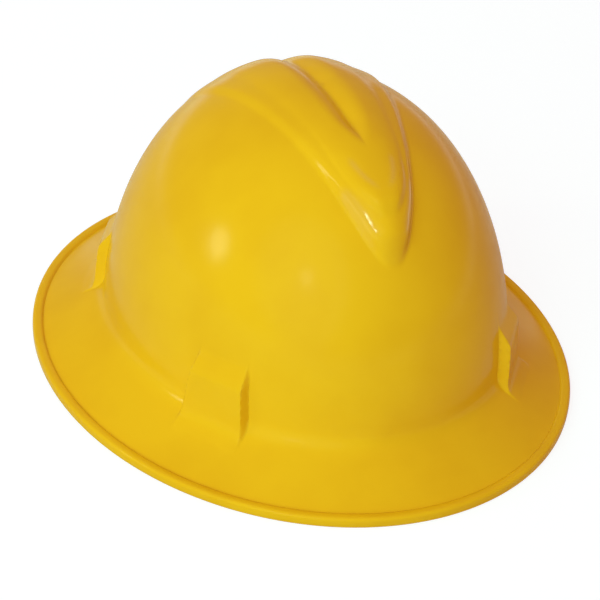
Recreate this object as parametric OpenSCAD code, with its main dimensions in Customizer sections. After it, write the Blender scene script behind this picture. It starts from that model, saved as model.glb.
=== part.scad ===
/* [Crown] */
// Half of the crown's outside length where it meets the brim
crown_half_length = 125.8; // [115:0.1:135]
// Half of the crown's outside width where it meets the brim
crown_half_width = 103.2; // [98:0.1:112]
// Height at which the crown wall and the brim would meet without a fillet
crown_base_z = 20.9; // [17:0.1:26]
// Height of the smooth dome, under the ribs
crown_top_z = 147; // [140:0.1:165]
// How far the crown sits forward of the middle of the brim
crown_forward = 3.5; // [0:0.1:6]
// Roundness of the dome in plan towards its foot, 2 is an ellipsoid
crown_side_power = 2.44; // [2:0.01:2.6]
// Roundness of the dome in height, 2 is an ellipsoid
crown_top_power = 1.78; // [1.6:0.01:2.2]
// Wall of the moulded shell
wall = 2.5; // [2:0.1:3.5]

/* [Brim] */
// Half of the whole length over the brim
brim_half_length = 166; // [155:0.1:180]
// Half of the whole width over the brim
brim_half_width = 139.8; // [132:0.1:150]
// Height of the brim's top just inside the rim
brim_edge_z = 3.9; // [3.4:0.1:6]
// Width of the raised rim round the brim
rim_width = 5.5; // [4:0.1:8]
// Height of the raised rim over the brim
rim_rise = 1.2; // [0.5:0.1:2]

/* [Crown ribs] */
// Height of the outer step over the dome
step_rise = 2.8; // [1.5:0.1:4]
// Height of the two arches over the step
arch_rise = 1.6; // [0.6:0.1:3]
// Depth of the crease at the foot of the arches
crease_depth = 1; // [0.4:0.1:2]
// Depth of the valley between the arches
valley_depth = 3; // [1:0.1:4]
// Distance from the crown's middle to the front end of the ribs
rib_nose = 101; // [95:0.5:104]

/* [Suspension pockets] */
// Position of the front pockets round the crown's ellipse, in degrees from the front
front_pocket_turn = 48.5; // [44:0.1:54]
// Position of the rear pockets round the crown's ellipse, in degrees from the back
rear_pocket_turn = 59.2; // [54:0.1:64]
// Width of a pocket's outer pad at its foot
pad_width = 36; // [34:0.5:42]
// How far a pad stands out from the crown at its foot
pad_depth = 4.9; // [4.7:0.1:7]
// Height of the top edge of a pad's face
pad_top_z = 42; // [40:0.5:48]
// Width of the key blade that slides up into a pocket
blade_width = 26; // [20:0.5:27]
// Thickness of the key blade
blade_thick = 2.4; // [2:0.1:2.6]

/* [Crown straps] */
// Width of the woven strap
strap_width = 19; // [15:0.5:20]
// Thickness of the woven strap
strap_thick = 1.3; // [1:0.1:1.5]
// Height of the lower strap where the two cross
strap_top_z = 112; // [100:0.5:118]

/* [Headband] */
// Room between the crown's foot and the headband loop at the temples
side_room = 18.2; // [16:0.1:21]
// Room between the crown's foot and the loop at the forehead
front_room = 14.3; // [13:0.1:21]
// Room between the crown's foot and the loop at the nape, where the ratchet is
rear_room = 35; // [34:0.1:38]
// Place of the loop's widest part, behind the middle of the brim
band_middle_y = 0.8; // [-2:0.1:3]
// Thickness of the moulded band
band_thick = 1.8; // [1.4:0.1:2.2]
// Height of the band over the forehead
brow_height = 32; // [26:0.5:34]
// Height of the side straps and racks
side_height = 20; // [18:0.5:21]
// Height of the band's middle over the table
band_z = 24; // [23:0.5:26]
// Travel of the headband up and down from its middle setting
height_travel = 6; // [4:0.5:6]
// Thickness of the brow pad at its crown
brow_pad_thick = 4.2; // [3:0.1:6]

/* [Ratchet] */
// Teeth on the pinion
pinion_teeth = 8; // [8:8]
// Pitch radius of the pinion
pinion_radius = 5; // [4.9:0.05:5.1]
// Thickness of one rack
rack_thick = 1.4; // [1.2:0.1:1.5]
// Gap between the two racks
rack_gap = 0.4; // [0.3:0.05:0.5]
// Half of the angle that the housing covers
housing_half_turn = 26; // [25:0.5:28]
// Height of the housing
housing_height = 34; // [32:0.5:36]
// Radius of the knob
knob_radius = 17; // [15:0.5:17.5]
// Thickness of the knob
knob_depth = 10.5; // [9.5:0.5:11]

/* [Hidden] */
SHELL_COLOUR = "#EDBE1A";
KEY_COLOUR = "#2B2C2E";
WEB_COLOUR = "#3A3C40";
BAND_COLOUR = "#26272A";
PAD_COLOUR = "#4A4C50";
METAL_COLOUR = "#B9BCC0";
LEFT = 1;
RIGHT = -1;
FRONT = -1;
REAR = 1;
fit = 0.3;
run_gap = 0.05;

// Small helpers
function clamp01(u) = min(1, max(0, u));
function smooth(u) = clamp01(u) * clamp01(u) * (3 - 2 * clamp01(u));
function mix(a, b, u) = a + (b - a) * u;
function flat(rows) = [for (row = rows) for (p = row) p];
function unit(v) = v / norm(v);
function bezier(a, b, c, d, u) =
    a * pow(1 - u, 3) + b * 3 * u * pow(1 - u, 2) + c * 3 * u * u * (1 - u) + d * pow(u, 3);

// A closed skin over rows of equally many points, with a point at each end
module skin_between_poles(first, rows, last) {
    n = len(rows[0]);
    count = len(rows);
    points = concat([first], flat(rows), [last]);
    end = len(points) - 1;
    start_fan = [for (i = [0:n - 1]) [0, 1 + (i + 1) % n, 1 + i]];
    sides = [
        for (j = [0:count - 2], i = [0:n - 1])
            let (a = 1 + j * n + i, b = 1 + j * n + (i + 1) % n)
            for (half = [[a, b, b + n], [a, b + n, a + n]]) half
    ];
    end_base = 1 + (count - 1) * n;
    end_fan = [for (i = [0:n - 1]) [end, end_base + i, end_base + (i + 1) % n]];
    polyhedron(points = points, faces = concat(start_fan, sides, end_fan), convexity = 8);
}

// A closed skin along rows of equally many points, with a flat or fanned cap at each end
module skin_along(rows) {
    n = len(rows[0]);
    count = len(rows);
    function middle(row) = [for (k = [0:2]) let (c = [for (p = row) p[k]]) sum(c) / n];
    skin_between_poles(middle(rows[0]), rows, middle(rows[count - 1]));
}
function sum(list, i = 0) = i < len(list) ? list[i] + sum(list, i + 1) : 0;

// Crown and brim: the shell is a stack of ellipses, from the outside of the top, down over the
// brim, round the rim and back up the inside.
brim_reach = brim_half_width - crown_half_width;
fillet_up = 5.5;
fillet_out = 6.5;
shell_steps = 60;
dome_steps = 12;
inside_steps = 9;
rim_foot = 3.4;

// Ring w mm outside the foot of the crown, where a negative w lies inside it
function ring_at(w, z) =
    let (
        f = max(0, w) / brim_reach,
        long_reach = brim_half_length - crown_half_length,
        half_y = crown_half_length + min(0, w) + f * long_reach,
        half_x = crown_half_width + w,
        y = -crown_forward * (1 - f)
    )
    [half_x, half_y, y, z];
// Ring on the dome, shrunk by inset, at the angle a up from its foot
function dome_ring(a, inset) =
    let (rho = pow(cos(a), 2 / crown_side_power), s = pow(sin(a), 2 / crown_top_power))
    [
        (crown_half_width - inset) * rho,
        (crown_half_length - inset) * rho,
        -crown_forward,
        crown_base_z + (crown_top_z - inset - crown_base_z) * s
    ];
function ring_points(r) = [
    for (i = [0:shell_steps - 1])
        let (t = i * 360 / shell_steps)
        [r[0] * sin(t), r[2] - r[1] * cos(t), r[3]]
];
// Angle up the dome at which it stands height mm over its foot
function dome_angle(height, inset) =
    asin(pow(height / (crown_top_z - inset - crown_base_z), crown_top_power / 2));
brim_flat = brim_reach - rim_width;
function brim_top(w) =
    brim_edge_z + (crown_base_z - brim_edge_z) * pow(clamp01(1 - w / brim_flat), 1.15);
function curve3(a, b, c, u) = a * pow(1 - u, 2) + b * 2 * u * (1 - u) + c * u * u;

dome_foot_angle = dome_angle(fillet_up, 0);
outside_rows = [
    for (i = [1:dome_steps]) dome_ring(mix(90, dome_foot_angle, i / dome_steps), 0)
];
fillet_rows = [
    for (u = [0.25:0.25:1])
        let (p = curve3([-0.1, crown_base_z + fillet_up], [0, crown_base_z - 0.3],
                        [fillet_out, brim_top(fillet_out)], u))
        ring_at(p[0], p[1])
];
brim_rows = [
    for (u = [0.25:0.25:1]) let (w = mix(fillet_out, brim_flat, u)) ring_at(w, brim_top(w))
];
rim_top = brim_edge_z + rim_rise;
rim_rows = [
    ring_at(brim_flat + 0.8, brim_edge_z + rim_rise * 0.75),
    ring_at(brim_flat + 1.8, rim_top),
    ring_at(brim_reach - 1.4, rim_top),
    ring_at(brim_reach - 0.4, rim_top - 0.6),
    ring_at(brim_reach, rim_top - 1.6),
    ring_at(brim_reach, 0.7),
    ring_at(brim_reach - 0.5, 0),
    ring_at(brim_reach - rim_foot, 0),
    ring_at(brim_reach - rim_foot - 0.6, brim_edge_z - wall)
];
underside_rows = [
    for (u = [1:-0.25:0.25])
        let (w = mix(fillet_out, brim_flat, u)) ring_at(w, brim_top(w) - wall * 1.08)
];
inner_fillet_rows = [
    for (u = [0:0.25:0.75])
        let (p = curve3([fillet_out - 1, brim_top(fillet_out) - wall * 1.12],
                        [-wall, crown_base_z - wall - 0.4],
                        [-wall - 0.1, crown_base_z + fillet_up - 1], u))
        ring_at(p[0], p[1])
];
inside_foot_angle = dome_angle(fillet_up, wall);
inside_rows = [
    for (i = [0:inside_steps - 1])
        dome_ring(mix(inside_foot_angle, 90, i / inside_steps), wall)
];

module crown_and_brim() {
    rings = concat(outside_rows, fillet_rows, brim_rows, rim_rows,
                   underside_rows, inner_fillet_rows, inside_rows);
    skin_between_poles(
        [0, -crown_forward, crown_top_z],
        [for (r = rings) ring_points(r)],
        [0, -crown_forward, crown_top_z - wall]
    );
}

// Ribs: one broad raised form with a rounded point at the front. An outer step spreads to the
// back, and on it stand two arches that meet in a valley on the middle. Places are measured from
// the crown's middle, y towards the back.
rib_fade_start = 32;
rib_end = 92;
rib_spread_end = 52;
nose_run = 12;
step_spread = 3.05;
step_power = 0.55;
step_flank = 5.6;
arch_nose = rib_nose - 22;
arch_blunt = 15;
arch_spread = 0.1;
crease_width = 2.8;
valley_front = 50;
valley_spread = 13.5;
function step_edge(y) =
    step_spread * pow(max(0, min(y, rib_spread_end) + rib_nose), step_power);
function arch_edge(y) =
    let (run = max(0, min(y, rib_spread_end) + arch_nose))
    arch_blunt * (1 - exp(-run / 8)) + arch_spread * run;
function valley_half(y) = max(0.5, valley_spread * (1 - exp(-max(0, y + valley_front) / 22)));
function rib_fade(y) =
    smooth((y + rib_nose) / nose_run)
    * (1 - smooth((y - rib_fade_start) / (rib_end - rib_fade_start)));
function rib_height(x, y) =
    let (
        side = abs(x),
        edge = arch_edge(y),
        step = step_rise * smooth((step_edge(y) - side) / step_flank),
        arch = arch_rise * (1 - pow(min(1, side / max(0.5, edge)), 4)) * smooth((y + arch_nose) / 12),
        crease = -crease_depth * exp(-pow((side - edge) / crease_width, 2)) * smooth((y + 70) / 30),
        valley = -valley_depth * pow(1 - min(1, side / valley_half(y)), 2)
            * smooth((y + valley_front) / 30)
    )
    rib_fade(y) * (step + arch + crease + valley);
// Point on the dome shrunk by inset, over the plan place x, y, then pushed out by rise
function dome_point(x, y, rise) =
    let (
        rho = min(0.995, norm([x / crown_half_width, y / crown_half_length])),
        top = crown_top_z - crown_base_z,
        s = pow(1 - pow(rho, crown_side_power), 1 / crown_top_power),
        slope_x = crown_side_power * pow(rho, crown_side_power - 2) * x / pow(crown_half_width, 2),
        slope_y = crown_side_power * pow(rho, crown_side_power - 2) * y / pow(crown_half_length, 2),
        slope_z = crown_top_power * pow(s, crown_top_power - 1) / top,
        out = unit([slope_x, slope_y, slope_z])
    )
    [x, y - crown_forward, crown_base_z + top * s] + out * rise;
// Places across one section, closer together where the flanks are
function fine_half(y) =
    let (e = step_edge(y), a = arch_edge(y), v = valley_half(y))
    [e + 0.2, e - 1.4, e - 2.8, e - 4.2, e - 5.6, a + 2.4, a, a - 1.8, a - 5,
     min(v, a - 7), 0.55 * v, 0.25 * v];
function coarse_half(y) =
    let (e = step_edge(y), a = arch_edge(y), v = valley_half(y))
    [e - 2.8, e - 5.6, a, 0.75 * a, min(v, 0.6 * a), 0.5 * v];
// The same places with at least a small step from each to the next
spread_step = 0.12;
function spread_out(half) =
    let (last = len(half) - 1)
    [for (i = [0:last])
        max(min([for (k = [0:i]) half[k] - (i - k) * spread_step]), (last - i + 1) * spread_step)];
// The ribs' own shape, sunk by drop, with its underside depth below the dome. Where the ribs have
// no height the skin dips under the surface it would lie on.
module rib_loft(drop, depth, dip, from, to, count, fine) {
    rows = [
        for (n = [0:count])
            let (
                y = mix(to, from, 1 - pow(1 - n / count, 1.3)),
                half = spread_out(fine ? fine_half(y) : coarse_half(y)),
                last = len(half) - 1,
                xs = concat([for (x = half) -x], [0], [for (i = [last:-1:0]) half[i]]),
                end = len(xs) - 1
            )
            concat(
                [for (i = [0:end])
                    let (rise = rib_height(xs[i], y), sink = dip * (1 - clamp01(rise)))
                    dome_point(xs[i], y, i == 0 || i == end ? -depth : rise - sink - drop)],
                [for (u = [0.5:-0.5:-0.5]) dome_point(xs[end] * u, y, -depth - 0.4)]
            )
    ];
    skin_along(rows);
}

// Suspension pockets. A frame stands on the crown's foot with y pointing out through the wall.
function pocket_turn(end) = end == FRONT ? front_pocket_turn : rear_pocket_turn;
function key_place(side, end) = [
    side * crown_half_width * sin(pocket_turn(end)),
    -crown_forward + end * crown_half_length * cos(pocket_turn(end))
];
function key_out(side, end) =
    let (t = pocket_turn(end))
    unit([side * sin(t) / crown_half_width, end * cos(t) / crown_half_length]);
module at_key(side, end) {
    p = key_place(side, end);
    d = key_out(side, end);
    translate([p[0], p[1], 0]) rotate([0, 0, atan2(-d[0], d[1])]) children();
}
blade_in = -0.3;
slot_side = 0.4;
blade_top_z = 30;
pad_foot_z = 15.5;
pad_roof_z = pad_top_z + 8.5;
pad_lean = 1.7;
// A thin slice of the pad at height z, from its back inside the wall to its face
module pad_slice(width, back, face, z) {
    translate([-width / 2, back, z]) cube([width, face - back, 0.2]);
}
module pad() {
    top_width = pad_width - 6;
    hull() {
        pad_slice(pad_width, -2, pad_depth, pad_foot_z);
        pad_slice(top_width, -3.4, pad_depth - pad_lean, pad_top_z);
    }
    hull() {
        pad_slice(top_width, -3.4, pad_depth - pad_lean, pad_top_z);
        pad_slice(top_width - 3, -5.2, -4.4, pad_roof_z);
    }
}
module pocket() {
    low = blade_in - fit;
    translate([-blade_width / 2 - slot_side, low, 4])
        cube([blade_width + 2 * slot_side, blade_thick + 2 * fit, blade_top_z + 1 - 4]);
}
module shell() {
    color(SHELL_COLOUR) difference() {
        union() {
            crown_and_brim();
            rib_loft(0, 1.2, 0.7, -rib_nose, rib_end, 24, true);
            for (side = [LEFT, RIGHT], end = [FRONT, REAR]) at_key(side, end) pad();
        }
        rib_loft(wall, wall + 1.6, 1.2, -rib_nose + 6, rib_end - 34, 12, false);
        for (side = [LEFT, RIGHT], end = [FRONT, REAR]) at_key(side, end) pocket();
    }
}

// Keys: a blade in the pocket, a yoke under the crown's edge, and a plate inside it that carries
// the strap's bar and the stud on which the headband hangs.
plate_thick = 2.5;
plate_out = -wall - 5.6;
plate_in = plate_out - plate_thick;
yoke_low = 10.5;
yoke_thick = 3;
bar_z = 45.5;
bar_radius = 1.5;
bar_y = (plate_out + plate_in) / 2;
stud_radius = 3;
stud_length = 2.9;
stud_head = 1.2;
key_width = 25;
window_width = strap_width + 2.4;
gusset_side = key_width / 2 - 2;
gusset_size = 4;
gusset_thick = 1.6;
recess_width = 5;
recess_depth = 1.2;
recess_step = 7.5;
// A three-cornered web between an upright face at y and a floor at z, reaching size towards way
module gusset(x, y, z, size, way) {
    translate([x - gusset_thick / 2, 0, 0]) rotate([90, 0, 90]) linear_extrude(gusset_thick)
        polygon([[y - 0.3 * way, z - 0.3], [y + size * way, z - 0.3], [y + size * way, z],
                 [y, z + size], [y - 0.3 * way, z + size]]);
}
module key(side, end) {
    color(KEY_COLOUR) at_key(side, end) {
        difference() {
            union() {
                translate([-blade_width / 2, blade_in, yoke_low])
                    cube([blade_width, blade_thick, blade_top_z - yoke_low]);
                translate([-key_width / 2, plate_in, yoke_low])
                    cube([key_width, blade_in + 0.5 - plate_in, yoke_thick]);
                translate([-key_width / 2, plate_in, yoke_low])
                    cube([key_width, plate_thick, bar_z - yoke_low]);
                for (x = [-gusset_side, gusset_side])
                    gusset(x, plate_out, yoke_low + yoke_thick, gusset_size, 1);
                translate([-key_width / 2, bar_y, bar_z]) rotate([0, 90, 0])
                    cylinder(r = bar_radius, h = key_width);
                translate([0, plate_in + 0.2, band_z]) rotate([90, 0, 0])
                    cylinder(r = stud_radius, h = stud_length + 0.2);
                translate([0, plate_in - stud_length, band_z]) rotate([90, 0, 0])
                    cylinder(r = stud_radius + 1.3, h = stud_head);
            }
            for (x = [-recess_step, 0, recess_step])
                translate([x - recess_width / 2, plate_out - 0.7, yoke_low - 1])
                    cube([recess_width, blade_in - plate_out - 0.6, recess_depth + 1]);
            translate([-window_width / 2, plate_in - 1, bar_z - bar_radius - 5.4])
                cube([window_width, plate_thick + 2, 5.4]);
            translate([-window_width / 2, plate_in - 1, bar_z - bar_radius])
                difference() {
                    cube([window_width, plate_thick + 2, bar_radius]);
                    translate([-1, 1 + plate_thick / 2, bar_radius]) rotate([0, 90, 0])
                        cylinder(r = bar_radius, h = window_width + 2);
                }
        }
    }
}

// Crown straps: webbing that loops round a key's bar at each end and is sewn back on itself.
loop_radius = bar_radius + 0.2 + strap_thick / 2;
sewn_length = 20;
sewn_middle = 9;
strap_lean = 0.27;
strap_pull = 62;
crossing_gap = 0.85;
strap_steps = 30;
// The strap's own line near a key, as out and up from the crown's foot: from the sewn end, down
// to the bar, round under it, and up again on the head's side. The wrap is in degrees round the
// bar, from where the sewn end touches it.
wrap_start = 34;
wrap_steps = 7;
function strap_end_line() =
    let (
        layer = strap_thick + 0.2,
        rise = sewn_length,
        inner = [bar_y - loop_radius, bar_z],
        lean = -strap_lean
    )
    concat(
        [[inner[0] + lean * rise + layer, bar_z + rise],
         [inner[0] + lean * sewn_middle + layer, bar_z + sewn_middle]],
        [for (k = [0:wrap_steps])
            let (a = mix(wrap_start, -180, k / wrap_steps))
            [bar_y + loop_radius * cos(a), bar_z + loop_radius * sin(a)]],
        [[inner[0] + lean * sewn_middle, bar_z + sewn_middle],
         [inner[0] + lean * rise, bar_z + rise]]
    );
function strap_rise(u) = pow(1 - pow(abs(2 * u - 1), 2.1), 1 / 1.25);
// Rows of [place, way across] along a strap from one key to the one diagonally opposite
function strap_rows(side, lift) =
    let (
        pa = key_place(side, FRONT), da = key_out(side, FRONT),
        pb = key_place(-side, REAR), db = key_out(-side, REAR),
        line = strap_end_line(),
        count = len(line),
        start = line[count - 1],
        a = pa + da * start[0],
        b = pb + db * start[0],
        across_a = [-da[1], da[0], 0],
        across_b = [db[1], -db[0], 0],
        near = [for (q = line) [[pa[0] + da[0] * q[0], pa[1] + da[1] * q[0], q[1]], across_a]],
        far = [for (i = [count - 1:-1:0])
            let (q = line[i]) [[pb[0] + db[0] * q[0], pb[1] + db[1] * q[0], q[1]], across_b]],
        over = [for (i = [1:strap_steps - 1])
            let (
                u = i / strap_steps,
                p = bezier(a, a - da * strap_pull, b - db * strap_pull, b, u),
                q = bezier(a, a - da * strap_pull, b - db * strap_pull, b, u + 0.001),
                way = unit(q - p)
            )
            [[p[0], p[1], mix(start[1], strap_top_z + lift, strap_rise(u))],
             [way[1], -way[0], 0]]]
    )
    concat(near, over, far);
module strap(side, lift) {
    rows = strap_rows(side, lift);
    last = len(rows) - 1;
    sections = [
        for (i = [0:last])
            let (
                p = rows[i][0],
                across = rows[i][1],
                before = rows[max(0, i - 1)][0],
                after = rows[min(last, i + 1)][0],
                along = unit(after - before),
                face = unit(cross(along, across)) * strap_thick / 2,
                half = across * strap_width / 2
            )
            [p - half + face, p + half + face, p + half - face, p - half - face]
    ];
    color(WEB_COLOUR) skin_along(sections);
}

// Headband loop: half ellipses that meet at the widest place. t runs from 0 at the forehead to
// 180 at the nape.
band_half_width = crown_half_width - side_room;
band_front_length = crown_half_length - front_room;
band_rear_length = crown_half_length - rear_room;
function loop_point(side, t, off) =
    let (
        long = t < 90 ? band_front_length : band_rear_length,
        p = [band_half_width * sin(t), -long * cos(t)],
        out = unit([sin(t) / band_half_width, -cos(t) / long])
    )
    [side * (p[0] + out[0] * off), band_middle_y + p[1] + out[1] * off];
temple_turn = 96;
module band_strip(from, to, thick, height) {
    step = 4;
    count = ceil((to - from) / step);
    ts = [for (i = [0:count]) mix(from, to, i / count)];
    outer = [for (t = ts) loop_point(t < 0 ? RIGHT : LEFT, abs(t), thick / 2)];
    inner = [for (i = [count:-1:0])
        loop_point(ts[i] < 0 ? RIGHT : LEFT, abs(ts[i]), -thick / 2)];
    translate([0, 0, band_z - height / 2]) linear_extrude(height) polygon(concat(outer, inner));
}
// Half of the band's height at y: full over the forehead, then falling to that of the side straps
brow_reach = 23.5;
brow_fall = 70;
function side_edge(y) =
    let (u = smooth((y + band_front_length - brow_reach) / brow_fall))
    mix(brow_height, side_height, u) / 2;
edge_steps = 18;
edge_ys = [
    for (i = [0:edge_steps]) mix(-band_front_length - 2 * band_thick, band_z, i / edge_steps)
];
slot_turns = [for (i = [0:5]) 8 + i * 11];
module headband() {
    color(BAND_COLOUR) difference() {
        intersection() {
            band_strip(-temple_turn, temple_turn, band_thick, brow_height);
            translate([-band_half_width - 5, 0, band_z]) rotate([90, 0, 90])
                linear_extrude(2 * band_half_width + 10) polygon(concat(
                    [for (i = [0:edge_steps]) [edge_ys[i], side_edge(edge_ys[i])]],
                    [for (i = [edge_steps:-1:0]) [edge_ys[i], -side_edge(edge_ys[i])]]
                ));
        }
        for (side = [LEFT, RIGHT], t = slot_turns) band_slot(side, t);
        hanger_rivet_places() {
            translate([0, 0, -8]) cylinder(r = rivet_radius + run_gap, h = 16);
            translate([0, 0, rivet_shank]) cylinder(r = rivet_radius + 1.2, h = 5);
        }
    }
}
module band_slot(side, t) {
    p = loop_point(side, t, 0);
    q = loop_point(side, t, 1);
    translate([p[0], p[1], band_z + 4]) rotate([0, 0, atan2(q[1] - p[1], q[0] - p[0])])
        rotate([0, 90, 0]) union() {
            translate([-3.5, -1.5, -4]) cube([7, 3, 8]);
            for (z = [-3.5, 3.5]) translate([z, 0, -4]) cylinder(r = 1.5, h = 8);
        }
}

// Front hangers: a slotted plate on the key's stud, a step inwards under it and a foot that is
// riveted to the outside of the band.
hanger_thick = 1.8;
hanger_width = 20;
hanger_out = plate_in - fit;
hanger_in = hanger_out - hanger_thick;
hanger_low = 11.5;
hanger_high = bar_z - loop_radius - strap_thick / 2 - height_travel - 1.2;
rivet_radius = 1.2;
rivet_z = band_z;
rivet_side = 7;
// Distance from the crown's foot, along a front key's own line, to the outside of the band
function band_reach(s = 0) =
    let (
        p = key_place(LEFT, FRONT) - key_out(LEFT, FRONT) * s,
        q = [p[0] / (band_half_width + band_thick / 2),
             (p[1] - band_middle_y) / (band_front_length + band_thick / 2)]
    )
    norm(q) <= 1 ? s : band_reach(s + 0.05);
hanger_foot = -band_reach() + 0.15;
// A rivet's place is on the hanger's outer face, pointing inwards; its inner head lies in a seat
// sunk into the band
rivet_shank = hanger_thick + 0.15 + band_thick - 0.6;
module hanger_rivet_places() {
    for (side = [LEFT, RIGHT], x = [-rivet_side, rivet_side])
        at_key(side, FRONT) translate([x, hanger_foot + hanger_thick, rivet_z])
            rotate([90, 0, 0]) children();
}
module stud_slot() {
    half = stud_radius + fit;
    for (z = [-height_travel, height_travel])
        translate([0, hanger_in - 1, band_z + z]) rotate([-90, 0, 0])
            cylinder(r = half, h = hanger_thick + 2);
    translate([-half, hanger_in - 1, band_z - height_travel])
        cube([2 * half, hanger_thick + 2, 2 * height_travel]);
}
module hanger_plate() {
    translate([-hanger_width / 2, hanger_in, hanger_low])
        cube([hanger_width, hanger_thick, hanger_high - hanger_low]);
}
hanger_gusset_side = hanger_width / 2 - 1.2;
hanger_gusset = 3;
module front_hanger(side) {
    foot_top = rivet_z + 5;
    color(BAND_COLOUR) at_key(side, FRONT) difference() {
        union() {
            hanger_plate();
            translate([-hanger_width / 2, hanger_foot, hanger_low])
                cube([hanger_width, hanger_out - hanger_foot, hanger_thick]);
            translate([-hanger_width / 2, hanger_foot, hanger_low])
                cube([hanger_width, hanger_thick, foot_top - hanger_low]);
            for (x = [-hanger_gusset_side, hanger_gusset_side])
                gusset(x, hanger_in, hanger_low + hanger_thick, hanger_gusset, -1);
        }
        stud_slot();
        for (x = [-rivet_side, rivet_side])
            translate([x, hanger_foot - 1, rivet_z]) rotate([-90, 0, 0])
                cylinder(r = rivet_radius + run_gap, h = hanger_thick + 2);
    }
}
module hanger_rivets() {
    color(METAL_COLOUR) hanger_rivet_places() {
        translate([0, 0, -0.5]) cylinder(r = rivet_radius, h = rivet_shank + 0.8);
        translate([0, 0, -0.8]) cylinder(r = rivet_radius + 1.1, h = 0.8);
        translate([0, 0, rivet_shank + 0.05]) cylinder(r = rivet_radius + 1, h = 0.4);
    }
}

// Pads: a crowned strip that follows the band's inside, pinched at its sewn channels.
function pad_section(height, thick, squeeze, count) = [
    for (i = [0:count - 1])
        let (
            a = i * 360 / count,
            flat_side = cos(a) > 0,
            z = height / 2 * sin(a),
            d = flat_side ? 0.35 * cos(a) : thick * squeeze * pow(-cos(a), 0.6)
        )
        [d * (flat_side ? -1 : 1), z]
];
brow_pad_turn = 64;
brow_channels = 9;
brow_pad_gap = 0.6;
module brow_pad() {
    steps = 72;
    rows = [
        for (i = [0:steps])
            let (
                v = i / steps,
                t = mix(-brow_pad_turn, brow_pad_turn, v),
                side = t < 0 ? RIGHT : LEFT,
                end = sqrt(clamp01(1 - pow(abs(2 * v - 1), 14))),
                pinch = 1 - 0.35 * pow(abs(cos(180 * v * brow_channels)), 10),
                section = pad_section((brow_height - 3) * mix(0.7, 1, end), brow_pad_thick,
                                      pinch * mix(0.35, 1, end), 12)
            )
            [for (q = section)
                let (p = loop_point(side, abs(t), -band_thick / 2 - brow_pad_gap - q[0]))
                [p[0], p[1], band_z + q[1]]]
    ];
    color(PAD_COLOUR) skin_along(rows);
}

// Ratchet: everything turns about the same upright line, the middle of the nape's curve.
rack_radius = pow(band_half_width, 2) / band_rear_length;
ratchet_y = band_middle_y + band_rear_length - rack_radius;
layer_step = (rack_thick + rack_gap) / 2;
channel_low = rack_radius - layer_step - rack_thick / 2 - 0.35;
channel_high = rack_radius + layer_step + rack_thick / 2 + 0.35;
back_thick = 2.8;
cover_thick = 3;
back_low = channel_low - back_thick;
cover_high = channel_high + cover_thick;
channel_half = side_height / 2 + 0.4;
module sector(low, high, z0, z1, half_turn) {
    rotate([0, 0, 90 - half_turn]) rotate_extrude(angle = 2 * half_turn, $fn = 180)
        translate([low, z0]) square([high - low, z1 - z0]);
}
module at_ratchet() {
    translate([0, ratchet_y, band_z]) children();
}
// Face of the housing as seen from behind, with round corners
module housing_outline(shrink) {
    half_x = rack_radius * sin(housing_half_turn) + 1 - shrink;
    half_z = housing_height / 2 - shrink;
    corner = 9;
    rotate([90, 0, 0]) translate([0, 0, -rack_radius - 20]) linear_extrude(60) union() {
        square([2 * (half_x - corner), 2 * half_z], center = true);
        square([2 * half_x, 2 * (half_z - corner)], center = true);
        for (x = [-1, 1], z = [-1, 1])
            translate([x * (half_x - corner), z * (half_z - corner)]) circle(r = corner);
    }
}
boss_radius = 8;
boss_length = 5.5;
shaft_radius = 4;
bead_radius = knob_radius + 1.7;
bead_width = 1.5;
bead_rise = 0.5;
plate_rivet_turn = 18;
plate_rivet_z = housing_height / 2 - 3.3;
module plate_rivet_places() {
    for (turn = [-plate_rivet_turn, plate_rivet_turn], z = [-plate_rivet_z, plate_rivet_z])
        rotate([0, 0, turn]) translate([0, back_low, z]) rotate([-90, 0, 0]) children();
}
module ratchet_cover() {
    half = housing_height / 2;
    color(KEY_COLOUR) at_ratchet() difference() {
        union() {
            intersection() {
                union() {
                    sector(channel_high, cover_high, -half, half, housing_half_turn + 3);
                    for (z = [-half, channel_half])
                        sector(channel_low + run_gap, channel_high + 0.5, z,
                               z + half - channel_half, housing_half_turn + 3);
                }
                housing_outline(0);
            }
            intersection() {
                sector(channel_high + 0.5, cover_high + bead_rise, -half, half, housing_half_turn);
                housing_outline(1.2);
                rotate([-90, 0, 0]) difference() {
                    cylinder(r = bead_radius + bead_width, h = cover_high + 5);
                    translate([0, 0, -1]) cylinder(r = bead_radius, h = cover_high + 7);
                }
            }
            translate([0, channel_high + 0.5, 0]) rotate([-90, 0, 0])
                cylinder(r = boss_radius, h = cover_high - channel_high - 0.5 + boss_length);
        }
        translate([0, channel_low - 1, 0]) rotate([-90, 0, 0])
            cylinder(r = shaft_radius + run_gap, h = 40);
        plate_rivet_places() cylinder(r = rivet_radius + run_gap, h = back_thick + 3);
        nape_rivet_places() translate([0, 0, -3]) cylinder(r = rivet_radius + run_gap, h = 9);
    }
}
pilot_radius = 2.4;
pilot_length = 1.8;
module ratchet_back_plate() {
    half = housing_height / 2;
    color(KEY_COLOUR) at_ratchet() difference() {
        intersection() {
            sector(back_low, channel_low, -half, half, housing_half_turn + 3);
            housing_outline(0);
        }
        translate([0, channel_low - pilot_length - 0.2, 0]) rotate([-90, 0, 0])
            cylinder(r = pilot_radius + run_gap, h = pilot_length + 2);
        plate_rivet_places() {
            translate([0, 0, -1]) cylinder(r = rivet_radius + run_gap, h = 8);
            translate([0, 0, -1]) cylinder(r = rivet_radius + 1, h = 1 + plate_seat);
        }
    }
}
// The rivets' heads lie in seats sunk into the back plate
plate_seat = 0.6;
module plate_rivets() {
    color(METAL_COLOUR) at_ratchet() plate_rivet_places() {
        translate([0, 0, 0.1]) cylinder(r = rivet_radius, h = back_thick + 2.7);
        translate([0, 0, 0.1]) cylinder(r = rivet_radius + 0.9, h = plate_seat - 0.15);
    }
}

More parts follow.
